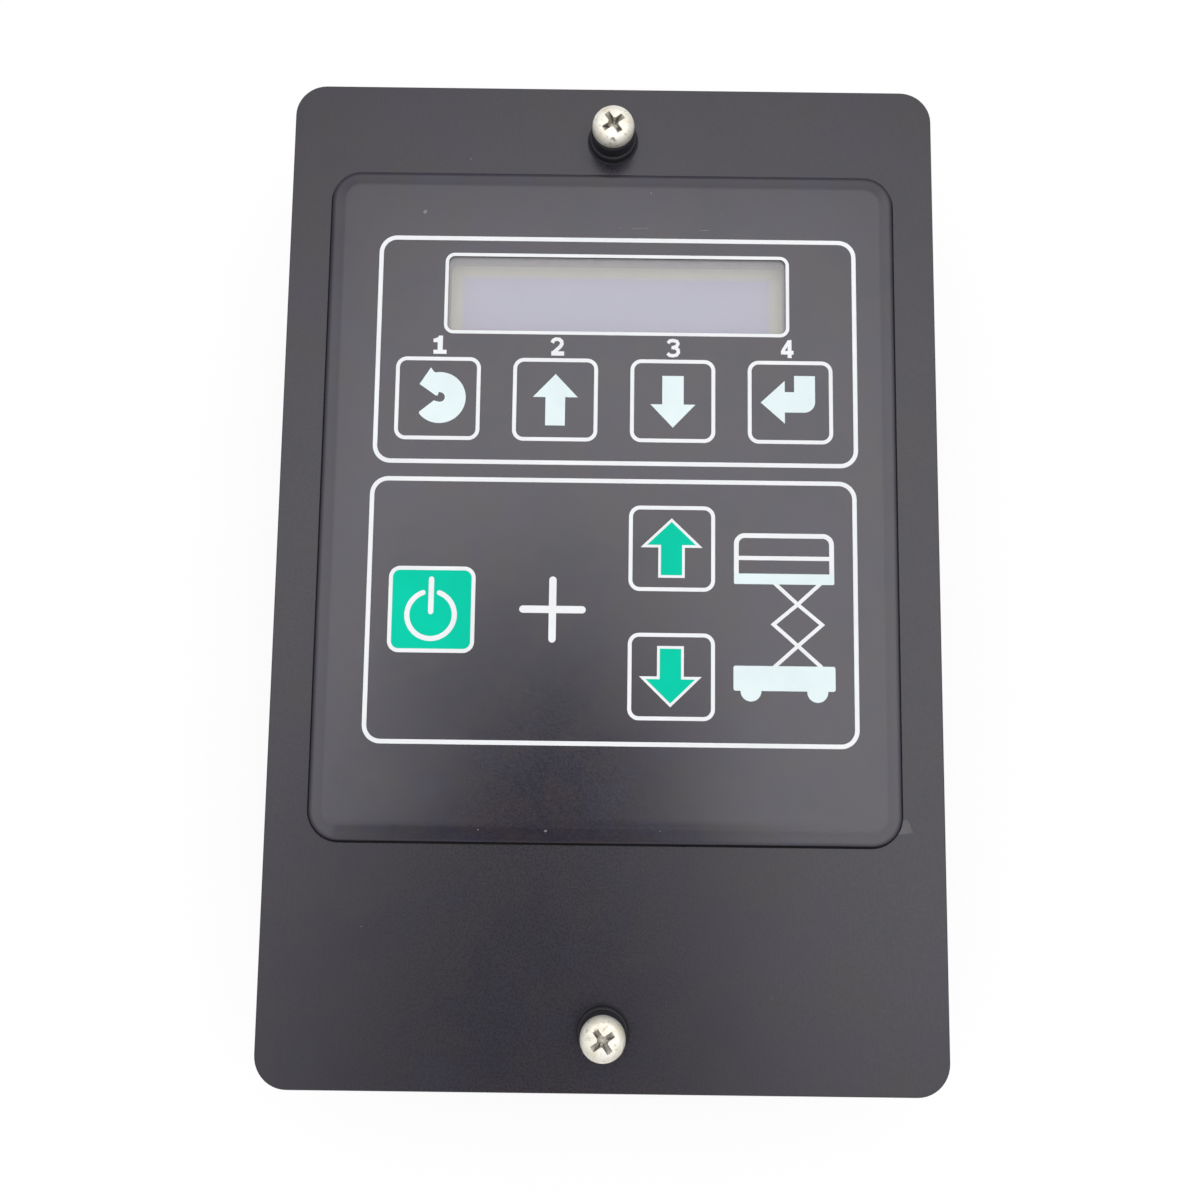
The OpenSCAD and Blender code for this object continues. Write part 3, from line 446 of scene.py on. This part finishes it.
HEAD_R = HEAD_D / 2
NECK_R = 1.7
HEAD_FOOT = [(0.25, 0.0), (0.08, 0.1), (0.0, 0.3)]
HEAD_STEPS = 12
HEAD_ROUNDNESS = 0.36
RIM_SHARE = 0.25
ROUND_STEPS = 72
THREAD_R = 2.085
THREAD_PITCH = 0.7
THREAD_D = 0.42
THREAD_RUN_IN = 0.3
THREAD_RUN_OUT = 0.8
GROOVE_GAIN = 1.25
CREST_FLAT = 0.05
THREAD_STEPS = 36
ROWS_PER_PITCH = 6
TIP_L = 0.6
TIP_TAPER = 0.55
RECESS_L = 4.6
RECESS_W = 1.1
RECESS_D = 1.9
RECESS_START = 0.6
RECESS_FOOT_SHARES = (0.34, 0.72)
RECESS_SINK = 0.05
RECESS_BIT = [(0, 0.8), (1.05, 0.8), (0.95, -1.6), (0, -2.1)]
NICK = [(0, 0.6), (0.55, 0.6), (0.42, -0.1), (0, -0.34)]
NICK_DROP = 0.55
NECK_OVERLAP = 0.2
THREAD_OVERLAP = 0.02


def head_profile():
    """Pan head with a flat underside and a crowned top."""
    h = HEAD_TOP - HEAD_Z
    foot = [(HEAD_R - inset, z) for inset, z in HEAD_FOOT]
    crown = [math.radians(90 * i / HEAD_STEPS) for i in range(HEAD_STEPS + 1)]
    return ([(0.0, 0.0), (NECK_R, 0.0)] + foot
            + [(HEAD_R * math.cos(a) ** HEAD_ROUNDNESS,
                h * (RIM_SHARE + (1 - RIM_SHARE) * math.sin(a))) for a in crown])


def wing_cutter(angle):
    """One tapered wing pair of the cross recess."""
    ca, sa = math.cos(angle), math.sin(angle)

    def outline(u, v):
        return [(x * ca - y * sa, x * sa + y * ca) for x, y in ((-u, -v), (u, -v), (u, v), (-u, v))]

    top = HEAD_TOP - RECESS_SINK
    u, v = RECESS_L / 2, RECESS_W / 2
    foot_u, foot_v = RECESS_FOOT_SHARES
    return stack("wing", [(outline(u, v), top + RECESS_START), (outline(u, v), top),
                          (outline(u * foot_u, v * foot_v), top - RECESS_D)])


def thread_mesh():
    """Shank with a true helical thread, which runs out at both ends."""
    length = -TIP_Z
    rows = int(length / THREAD_PITCH * ROWS_PER_PITCH)
    outlines = []
    for k in range(rows + 1):
        z = -length * k / rows
        fade = min(1.0, (length + z) / THREAD_RUN_OUT, -z / THREAD_RUN_IN if k else 0.0)
        taper = TIP_TAPER * max(0.0, 1 - (length + z) / TIP_L)
        ring = []
        for i in range(THREAD_STEPS):
            turn = (z / THREAD_PITCH + i / THREAD_STEPS) % 1.0
            groove = (1 - abs(turn - 0.5) * 2) * GROOVE_GAIN - CREST_FLAT
            r = THREAD_R - THREAD_D * max(0.0, min(1.0, groove)) * fade - taper
            a = 2 * math.pi * i / THREAD_STEPS
            ring.append((r * math.cos(a), r * math.sin(a)))
        outlines.append((ring, z))
    return stack("thread", outlines)


def screw_mesh(name, y, angle, nick):
    cutters = [wing_cutter(angle), wing_cutter(angle + math.pi / 2),
               lathe("bit", RECESS_BIT, 16, HEAD_TOP)]
    if nick:
        a, r = nick
        cutters.append(moved(lathe("nick", NICK, 12, HEAD_TOP - NICK_DROP),
                             r * math.cos(a), r * math.sin(a), 0))
    whole = lathe(name + "_head", head_profile(), ROUND_STEPS, HEAD_Z)
    neck = lathe("neck", [(0, HEAD_Z + NECK_OVERLAP), (NECK_R, HEAD_Z + NECK_OVERLAP),
                          (NECK_R, -THREAD_OVERLAP), (0, -THREAD_OVERLAP)], 32)
    return moved(joined(name, [carved(whole, cutters, name), neck, thread_mesh()]), 0, y, 0)


def nickel():
    """Nickel plate with small specks, and painted shade, dark brown, that gathers in the recess."""
    m, nt, sh = new_material("nickel_plate")
    coord = object_coord(nt)
    bright, worn = (0.88, 0.865, 0.785), (0.74, 0.70, 0.565)
    speck, recess_shade_colour = (0.42, 0.38, 0.29), (0.075, 0.06, 0.04)
    patches = spread(nt, noise(nt, coord, 420, 5.0), 0.42, 0.70, 0.0, 1.0)
    clean = mixed(nt, patches, bright, worn)
    specks = spread(nt, noise(nt, coord, 1300), 0.60, 0.66, 0.0, 0.6)
    clean = mixed(nt, specks, clean, speck)
    # Painted shade: ambient occlusion darkens the colour to dark brown in the recess and other
    # hollows.
    ao = node(nt, "ShaderNodeAmbientOcclusion", samples=8, Distance=1.6 * MM)
    painted_shade_mask = spread(nt, ao.outputs["AO"], 0.25, 0.85, 1.0, 0.0)
    nt.links.new(mixed(nt, painted_shade_mask, clean, recess_shade_colour), sh.inputs["Base Color"])
    sh.inputs["Metallic"].default_value = 0.38
    fine = noise(nt, coord, 2600, 4.0)
    nt.links.new(spread(nt, fine, *MIDDLE_RANGE, 0.44, 0.56), sh.inputs["Roughness"])
    bumped(nt, sh, noise(nt, coord, 900, 4.0), 0.4, 0.06)
    return m


NICKEL = nickel()

# Collars round the screws, as (radius, height) points in mm

COLLAR_R = COLLAR_D / 2
SHANK_R = COLLAR_R - 0.4
ROOM_R = SHANK_R - 0.6
BORE_R = 2.185
ROOM_Z = HEAD_Z - 1.0
# The low foot round the collar's base widens its flange, and its dark nylon also paints the shade
# where the collar meets the plate.
FLANGE_AND_SHADE_W = 0.35
COLLAR = [
    (BORE_R, ROOM_Z), (ROOM_R, ROOM_Z), (ROOM_R, 0.0), (SHANK_R, 0.0), (SHANK_R, PLATE_Z),
    (COLLAR_R + FLANGE_AND_SHADE_W, PLATE_Z), (COLLAR_R + FLANGE_AND_SHADE_W, PLATE_Z + 0.12),
    (COLLAR_R + 0.1, PLATE_Z + 0.35), (COLLAR_R, PLATE_Z + 0.5), (COLLAR_R, PLATE_Z + 1.45),
    (COLLAR_R - 0.08, PLATE_Z + 1.7), (COLLAR_R - 0.22, PLATE_Z + 1.85),
    (SHANK_R, PLATE_Z + 1.95), (SHANK_R, HEAD_Z - 0.8), (COLLAR_R - 0.5, HEAD_Z - 0.5),
    (COLLAR_R - 0.8, HEAD_Z - 0.15), (COLLAR_R - 1.1, HEAD_Z), (BORE_R + 0.25, HEAD_Z),
    (BORE_R, HEAD_Z - 0.25), (BORE_R, ROOM_Z),
]

# (side, place along Y, turn of the recess, a nick's angle and radius)
for side, y, angle, nick in (("upper", SCREW_Y, 0.60, (-1.60, 3.45)),
                             ("lower", -SCREW_Y, 0.61, None)):
    name = side + "_screw_detail"
    screw = piece(name, screw_mesh(name, y, angle, nick), side + "_captive_screw", NICKEL, 35)
    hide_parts(side + "_screw")
    name = side + "_collar_detail"
    collar = piece(name, lathe(name, COLLAR, ROUND_STEPS, 0.0, y), "root", NYLON, 32)
    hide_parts(side + "_collar")

# Overlay film, with a dark line of painted shade round it where its edge meets the plate

(OV_X, OV_Y), (OV_W, OV_L), _ = span("graphic_overlay")
OV_R = 5.5
CORNER_STEPS = 10
EDGE_W = 0.5
EDGE_T = 0.04
EDGE_LAP = 0.05
SHEET_GAP = 0.1
KEY_GAP = 0.05
KEY_HOLE_R = 1.35
PANE_RIM = 1.5
VIEW_R = 1.2
THROUGH_Z = (4.0, 5.0)
POCKET_START = PLATE_Z - 0.1
EDGE_CUT_Z = (PLATE_Z - 0.5, PLATE_Z + 1)
# (inset, height) along the formed border of the film
FILM_RISE = [(0.0, PLATE_Z), (0.0, 4.08), (0.07, 4.21), (0.22, 4.27), (0.8, 4.32), (1.4, 4.37),
             (1.9, 4.415), (2.3, 4.455), (2.6, 4.485), (2.9, FILM_Z)]


def overlay_outline(inset, z):
    outline = rounded(OV_X, OV_Y, OV_W - 2 * inset, OV_L - 2 * inset, OV_R - inset,
                      CORNER_STEPS)
    return outline, z


def through(name, outline):
    """Cutter through the film."""
    return stack(name, [(outline, z) for z in THROUGH_Z])


_, (STACK_W, _), (_, STACK_TOP) = span("key_spacer")
(WIN_X, WIN_Y), (PANE_W, PANE_L), _ = span("display_window")
WIN_W, WIN_L = PANE_W - 2 * PANE_RIM, PANE_L - 2 * PANE_RIM

pocket_inset = (OV_W - STACK_W) / 2 - SHEET_GAP
cuts = [stack("pocket", [overlay_outline(pocket_inset, z) for z in (POCKET_START, STACK_TOP)]),
        through("view", rounded(WIN_X, WIN_Y, WIN_W, WIN_L, VIEW_R))]
KEYS = {}
for name in ("menu", "scroll_up", "scroll_down", "enter", "enable", "raise", "lower"):
    KEYS[name], (KEY_W, _), _ = span(name + "_key")
    hole_w = KEY_W + 2 * KEY_GAP
    cuts.append(through("hole", rounded(*KEYS[name], hole_w, hole_w, KEY_HOLE_R)))
whole_film = stack("film_whole", [overlay_outline(inset, z) for inset, z in FILM_RISE])
film = piece("overlay_film", carved(whole_film, cuts, "overlay_film"), "root", FILM, 28)
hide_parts("graphic_overlay")

# A thin near-black ring round the film paints the shade at its edge.
edge = stack("edge", [overlay_outline(-EDGE_W, z) for z in (PLATE_Z, PLATE_Z + EDGE_T)])
edge_hole = stack("edge_hole", [overlay_outline(EDGE_LAP, z) for z in EDGE_CUT_Z])
piece("overlay_shade_edge", carved(edge, [edge_hole], "overlay_shade_edge"), "root", EDGE)

# Printed signs, in mm on the plate's face unless corrected for the film's height

INK_T = 0.02
INK_STEP = 0.002
PANEL_LINE = 0.83
PANEL_R = 3.4
KEY_LINE = 0.73
KEY_FRAME_R = 2.1
WINDOW_LINE = 0.65
WINDOW_FRAME_R = 1.8
WINDOW_REACH = 0.6
GAP_COVER = 0.1
LEAST_R = 0.4
FRAME_STEPS = 8


def ink(name, shapes, body="root", material=WHITE_INK, layer=0, corrected=False):
    """Printed sign on the film: one piece from shapes, each a list of loops."""
    def sheet(k, loops):
        places = loops if corrected else [[on_film(p) for p in loop] for loop in loops]
        return filled(name, places, FILM_Z, INK_T + (layer + k) * INK_STEP)

    mesh = joined(name, (sheet(k, loops) for k, loops in enumerate(shapes)))
    return piece(name, mesh, body, material)


def frame_loops(cx, cy, w, l, r, line):
    """Outer and inner loop of a printed frame."""
    inner_r = max(r - line, LEAST_R)
    return [rounded(cx, cy, w, l, r, FRAME_STEPS),
            rounded(cx, cy, w - 2 * line, l - 2 * line, inner_r, FRAME_STEPS)]


def panel_frame(x0, x1, y0, y1):
    """Frame round a group of keys, measured on the plate's face."""
    a, b = on_film((x0, y0)), on_film((x1, y1))
    return frame_loops((a[0] + b[0]) / 2, (a[1] + b[1]) / 2, b[0] - a[0], b[1] - a[1],
                       PANEL_R, PANEL_LINE)


KEY_FRAME_W = KEY_W + 2 * (KEY_LINE - GAP_COVER)
ink("panel_frames", [panel_frame(-45.05, 47.35, 19.45, 64.55),
                     panel_frame(-45.25, 46.95, -33.5, 16.85)], corrected=True)
ink("display_frame", [frame_loops(WIN_X, WIN_Y, WIN_W + 2 * WINDOW_REACH, WIN_L + 2 * WINDOW_REACH,
                                  WINDOW_FRAME_R, WINDOW_LINE)], corrected=True)
ink("key_frames", [frame_loops(*KEYS[n], KEY_FRAME_W, KEY_FRAME_W, KEY_FRAME_R, KEY_LINE)
                   for n in KEYS], corrected=True)

TWO_LINE = 0.7
THREE_LINE = 0.66
one = [[(-34.08, 43.22), (-34.08, 43.87), (-33.26, 44.17), (-33.01, 44.54),
        (-32.27, 44.54), (-32.27, 41.72), (-31.51, 41.72), (-31.51, 40.92),
        (-34.03, 40.92), (-34.03, 41.72), (-33.26, 41.72), (-33.26, 43.22)]]
two_hook = [stroke([(-11.24, 43.4), (-11.01, 43.85), (-10.56, 44.12), (-9.89, 44.08),
                    (-9.44, 43.7), (-9.39, 43.15), (-9.71, 42.6), (-10.93, 41.45),
                    (-11.06, 41.3)], TWO_LINE)]
two_base = [[(-11.38, 40.85), (-8.9, 40.85), (-8.9, 41.7), (-11.38, 41.7)]]
three_top = [stroke([(11.03, 43.6), (11.45, 44.05), (12.09, 44.12), (12.74, 43.95),
                     (12.97, 43.5), (12.69, 42.95), (12, 42.72)], THREE_LINE)]
three_foot = [stroke([(11.72, 42.72), (12.55, 42.65), (13.01, 42.25), (13.03, 41.7),
                      (12.69, 41.25), (12, 41.1), (11.36, 41.2), (10.94, 41.55)],
                     THREE_LINE)]
four = [[(34.09, 44.48), (34.8, 44.48), (34.8, 42.38), (35.19, 42.38), (35.19, 41.63),
         (34.8, 41.63), (34.8, 40.93), (34.05, 40.93), (34.05, 41.63), (32.77, 41.63),
         (32.77, 42.33)],
        [(34.05, 42.33), (33.52, 42.33), (34.05, 43.23)]]
ink("digits", [one, two_hook, two_base, three_top, three_foot, four])


def arrow(tip, head_base, head_half, stem_half, stem_end, up):
    """Outline of an arrow along Y, which points up for 1 and down for -1."""
    x, y = tip
    return [(x, y), (x - up * head_half, head_base), (x - up * stem_half, head_base),
            (x - up * stem_half, stem_end), (x + up * stem_half, stem_end),
            (x + up * stem_half, head_base), (x + up * head_half, head_base)]


back_sign = ([(-34.4, 38.2), (-33.8, 37.35)] + arc(-32.6, 32.3, 5.0, 100, -140, 40)
             + [(-36.4, 29.5), (-33.7, 31.7)]
             + list(reversed(arc(-32.55, 32.4, 0.95, 80, -110, 12)))
             + [(-32.8, 33.4), (-32.95, 32.7), (-33.4, 32.7), (-34.2, 33.3), (-36.5, 34.9)])
enter_sign = ([(28.85, 32.1), (33.45, 36.4), (33.45, 34.2), (35.25, 34.2), (35.25, 37.4),
               (39.25, 37.4)] + arc(37.15, 32.3, 2.1, 0, -90, 8)
              + [(33.45, 30.2), (33.45, 28.0)])
up_sign = arrow((-10.45, 37.2), 32.65, 4.3, 1.88, 27.1, 1)
down_sign = arrow((12.05, 26.95), 31.5, 4.3, 2.05, 37.1, -1)
ink("back_sign", [[back_sign]], "menu_key", PALE_INK)
ink("scroll_up_sign", [[up_sign]], "scroll_up_key", PALE_INK)
ink("scroll_down_sign", [[down_sign]], "scroll_down_key", PALE_INK)
ink("enter_sign", [[enter_sign]], "enter_key", PALE_INK)

RING_LINE = 0.95
BAR_LINE = 1.0
power_ring = stroke(arc(-33.1, -9.5, 4.45, 110, 430, 48), RING_LINE, True)
power_bar = stroke([(-33.1, -8.9), (-33.1, -2.75)], BAR_LINE, True)
ink("power_sign", [[power_ring], [power_bar]], "enable_key", WHITE_INK, layer=1)

PLUS_LINE = 1.38
ink("plus_sign", [[stroke([(-15.85, -8.2), (-4.75, -8.2)], PLUS_LINE, True)],
                  [stroke([(-10.3, -13.75), (-10.3, -2.65)], PLUS_LINE, True)]])

RIM = 0.5
ARROW_HALF = 5.85
STEM_HALF = 2.5
for name, tip, base, end, up in (("raise", (11.95, 9.4), 3.8, -1.95, 1),
                                 ("lower", (11.85, -26.2), -20.5, -14.8, -1)):
    lean = (tip[1] - base) * up / ARROW_HALF
    rim = arrow(tip, base, ARROW_HALF, STEM_HALF, end, up)
    point = tip[1] - up * RIM * math.hypot(1, lean)
    fill = arrow((tip[0], point), base + up * RIM, (point - base - up * RIM) * up / lean,
                 STEM_HALF - RIM, end + up * RIM, up)
    ink(name + "_sign", [[rim]], name + "_key", WHITE_INK)
    ink(name + "_sign_fill", [[fill]], name + "_key", GREEN, layer=2)

CAGE_LINE = 0.9
LIFT_LINE = 0.7
WHEEL_R = 1.95
SCISSOR_X = 35.65
cage = ([(24.15, -2.8), (24.15, 4.5)] + arc(25.75, 4.68, 1.6, 180, 90, 6)[1:]
        + arc(40.5, 4.68, 1.6, 90, 0, 6) + [(42.1, 4.5), (42.1, -2.8)])
rail = rounded(33.1, 2.0, 17.8, 0.8, 0.1, 2)
scissor = [(31.3, -2.7), (SCISSOR_X, -6.7), (40.2, -10.5), (SCISSOR_X, -14.5), (31.2, -18.5)]
mirrored_scissor = [(2 * SCISSOR_X - x, y) for x, y in scissor]
deck = rounded(33.12, -1.95, 18.7, 2.0, 0.1, 2)
chassis = rounded(33.1, -20.63, 19.0, 4.65, 0.4, 4)
wheels = [arc(x, y, WHEEL_R, 0, 345, 23) for x, y in ((26.85, -22.98), (39.27, -23.08))]
ink("lift_sign", [[stroke(cage, CAGE_LINE)], [rail], [stroke(scissor, LIFT_LINE)],
                  [stroke(mirrored_scissor, LIFT_LINE)]])
ink("lift_sign_fill", [[deck], [chassis]] + [[wheel] for wheel in wheels], "root", PALE_INK,
    layer=4)

# Small marks of use

MARK_T = 0.006
FLECK_SIDES = 7
FLECK_SHARES = (0.6, 1.15)


def fleck(x, y, r):
    """Irregular little outline, for dust and paint flecks."""
    turn = rng.uniform(0, 360)
    angles = [math.radians(turn + 360 * i / FLECK_SIDES) for i in range(FLECK_SIDES)]
    return [(x + r * rng.uniform(*FLECK_SHARES) * math.cos(a),
             y + r * rng.uniform(*FLECK_SHARES) * math.sin(a)) for a in angles]


def marks(name, loops, z, material):
    mesh = joined(name, (filled(name, [loop], z, MARK_T) for loop in loops))
    return piece(name, mesh, "root", material)


marks("plate_flecks", [fleck(-27.8, 80.4, 0.22), fleck(-57.5, 12.0, 0.12), fleck(30.5, -78.2, 0.13),
                       fleck(-44.0, -66.5, 0.12)], PLATE_Z, MARK)
marks("glue_residue", [[(54.35, -46.6), (55.4, -46.1), (56.0, -47.2), (56.5, -48.5),
                        (54.9, -48.8), (53.3, -48.9), (53.9, -47.8)]], PLATE_Z, RESIDUE)
marks("film_flecks", [fleck(-36.2, 68.8, 0.42), fleck(7.5, 73.1, 0.26),
                      fleck(-10.8, -48.9, 0.3), fleck(-23.1, -48.85, 0.14),
                      fleck(10.0, -48.7, 0.16), fleck(21.3, 68.9, 0.12)], FILM_Z, MARK)
marks("film_scratches", [stroke([(3.8, 65.85), (5.4, 65.95), (6.9, 65.85)], 0.13),
                         stroke([(1.2, 66.0), (2.0, 65.98)], 0.1),
                         stroke([(16.8, 65.6), (18.8, 65.75)], 0.11)], FILM_Z, MARK)

# Display

FIELD_AT = (0.98, 48.8)
FIELD_HALF = (30.2, 9.0)
FIELD_BLEND = 0.7


def display_material():
    """Switched-off display: lavender field with a beige margin."""
    m, nt, sh = new_material("display_off")
    coord = object_coord(nt)
    split = node(nt, "ShaderNodeSeparateXYZ")
    nt.links.new(coord, split.inputs["Vector"])
    lavender, pale_lavender, beige = (0.470, 0.462, 0.611), (0.500, 0.492, 0.636), (0.65, 0.625, 0.445)
    edges = []
    for axis, centre, half in zip("XY", FIELD_AT, FIELD_HALF):
        away = maths(nt, "ABSOLUTE", maths(nt, "SUBTRACT", split.outputs[axis], centre * MM))
        edges.append(spread(nt, away, (half - FIELD_BLEND) * MM, (half + FIELD_BLEND) * MM, 0, 1))
    clouds = spread(nt, noise(nt, coord, 90), *MIDDLE_RANGE, 0, 1)
    field = mixed(nt, clouds, lavender, pale_lavender)
    colour = mixed(nt, maths(nt, "MAXIMUM", *edges), field, beige)
    nt.links.new(colour, sh.inputs["Base Color"])
    nt.links.new(spread(nt, clouds, 0, 1, 0.55, 0.6), sh.inputs["Roughness"])
    sh.inputs["Specular IOR Level"].default_value = 0.15
    return m


def pane_material():
    """Clear hard-coated pane with a faint haze."""
    m, nt, sh = new_material("clear_pane")
    haze = noise(nt, object_coord(nt), 160)
    nt.links.new(mixed(nt, haze, (0.68, 0.68, 0.71), (0.75, 0.75, 0.78)), sh.inputs["Base Color"])
    nt.links.new(spread(nt, haze, *MIDDLE_RANGE, 0.38, 0.42), sh.inputs["Roughness"])
    sh.inputs["Alpha"].default_value = 0.25
    return m


# Finishes of the CAD nodes

FINISHES = {
    "front_plate": PLATE, "display_window": pane_material(), "display_gasket": FOAM,
    "membrane_circuit": SHEET, "dome_retainer": SHEET, "key_spacer": SHEET,
    "enable_key": GREEN, "lcd_frame": LCD_METAL, "lcd_glass": display_material(),
    "lcd_backlight": DIFFUSER, "lcd_board": BOARD, "lcd_standoffs": ZINC, "lcd_screws": ZINC,
    "lcd_ribbon": RIBBON, "ribbon_sockets": SOCKET, "plate_standoffs": ZINC,
    "housing_gasket": RUBBER, "rear_housing": HOUSING, "housing_screws": ZINC,
    "main_board": BOARD, "board_screws": ZINC, "processor": CHIP, "driver_chips": CHIP,
    "voltage_regulator": CHIP, "chip_resistors": CHIP, "relays": RELAY, "capacitors": CAN,
    "keypad_socket": SOCKET, "left_header": HEADER, "right_header": HEADER,
    "header_seals": SEAL, "left_header_pins": PINS, "right_header_pins": PINS,
    "upper_ring": RING, "lower_ring": RING,
}
for name in KEYS:
    FINISHES.setdefault(name + "_key", FILM)
    FINISHES[name + "_dome"] = DOME
for name, material in FINISHES.items():
    for slot in NODES[name].material_slots:
        slot.material = material

SOFT_EDGE = 0.2
SOFT_ANGLE = 40
WELD_GAP = 0.001


def soften(obj):
    """Rounds a CAD node's hard edges with modifiers."""
    weld = obj.modifiers.new("weld", "WELD")
    weld.merge_threshold = WELD_GAP * MM
    bevel = obj.modifiers.new("bevel", "BEVEL")
    bevel.width = SOFT_EDGE * MM
    bevel.segments = 2
    bevel.limit_method = "ANGLE"
    bevel.angle_limit = math.radians(SOFT_ANGLE)
    bevel.use_clamp_overlap = True
    bevel.harden_normals = True


for name in ("front_plate", "rear_housing", "left_header", "right_header"):
    soften(NODES[name])

# Floor, a hair below the back of the housing, in mm

FLOOR_GAP = 0.02
FLOOR_HALF = 6000
FLOOR_GLOW = 0.85
FLOOR_COLOUR = (0.99, 0.99, 0.99, 1)


def floor_material():
    """White floor that keeps the object's shadow but looks white to the camera."""
    m, nt, sh = new_material("floor_white")
    sh.inputs["Base Color"].default_value = FLOOR_COLOUR
    sh.inputs["Roughness"].default_value = 0.7
    glow = node(nt, "ShaderNodeEmission", Color=WHITE, Strength=1.0)
    path = node(nt, "ShaderNodeLightPath")
    seen = maths(nt, "MAXIMUM", path.outputs["Is Camera Ray"], path.outputs["Is Glossy Ray"])
    both = node(nt, "ShaderNodeMixShader")
    nt.links.new(maths(nt, "MULTIPLY", seen, FLOOR_GLOW), both.inputs["Fac"])
    nt.links.new(sh.outputs[0], both.inputs[1])
    nt.links.new(glow.outputs[0], both.inputs[2])
    nt.links.new(both.outputs[0], nt.nodes["Material Output"].inputs["Surface"])
    return m


bm = bmesh.new()
bmesh.ops.create_grid(bm, x_segments=2, y_segments=2, size=FLOOR_HALF * MM)
floor_mesh = bpy.data.meshes.new("floor")
bm.to_mesh(floor_mesh)
bm.free()
floor = bpy.data.objects.new("floor", floor_mesh)
floor.location = (0, 0, cad_box[0][2] - FLOOR_GAP * MM)
bpy.context.scene.collection.objects.link(floor)
floor_mesh.materials.append(floor_material())

# Light. Directions are slopes from straight up, and the camera stands near (0, -0.15).
CEILING = 3.18
WALLS = 0.44
CEILING_AT = (0.07, 0.10)
CEILING_EDGE = (0.32, 0.97)
CAMERA_SHADE_AT = (-0.055, -0.30)
CAMERA_SHADE_HALF = (0.180, 0.42)
CAMERA_SHADE_EDGE = (0.66, 1.24)
LOWEST_UP = 0.02


def studio_world():
    """Bright ceiling that fades toward the walls, with the dark shape of the camera in it."""
    world = bpy.data.worlds.new("studio")
    bpy.context.scene.world = world
    world.use_nodes = True
    nt = world.node_tree
    split = node(nt, "ShaderNodeSeparateXYZ")
    nt.links.new(node(nt, "ShaderNodeTexCoord").outputs["Generated"], split.inputs[0])
    up = maths(nt, "MAXIMUM", split.outputs["Z"], LOWEST_UP)
    slopes = [maths(nt, "DIVIDE", split.outputs[axis], up) for axis in "XY"]

    def reach(centre, half):
        """Distance from the centre, in halves."""
        parts = [maths(nt, "DIVIDE", maths(nt, "SUBTRACT", slope, c), h)
                 for slope, c, h in zip(slopes, centre, half)]
        squares = [maths(nt, "MULTIPLY", p, p) for p in parts]
        return maths(nt, "SQRT", maths(nt, "ADD", *squares))

    ceiling = spread(nt, reach(CEILING_AT, (1, 1)), *CEILING_EDGE, CEILING, WALLS)
    shade = spread(nt, reach(CAMERA_SHADE_AT, CAMERA_SHADE_HALF), *CAMERA_SHADE_EDGE, 0.0, 1.0)
    back = nt.nodes["Background"]
    nt.links.new(maths(nt, "MULTIPLY", ceiling, shade), back.inputs["Strength"])
    back.inputs["Color"].default_value = (1.0, 0.99, 1.0, 1)
    white = node(nt, "ShaderNodeBackground", Color=WHITE, Strength=1.0)
    pick = node(nt, "ShaderNodeMixShader")
    nt.links.new(node(nt, "ShaderNodeLightPath").outputs["Is Camera Ray"], pick.inputs["Fac"])
    nt.links.new(back.outputs[0], pick.inputs[1])
    nt.links.new(white.outputs[0], pick.inputs[2])
    nt.links.new(pick.outputs[0], nt.nodes["World Output"].inputs["Surface"])


studio_world()

bpy.context.scene.view_settings.view_transform = "Standard"
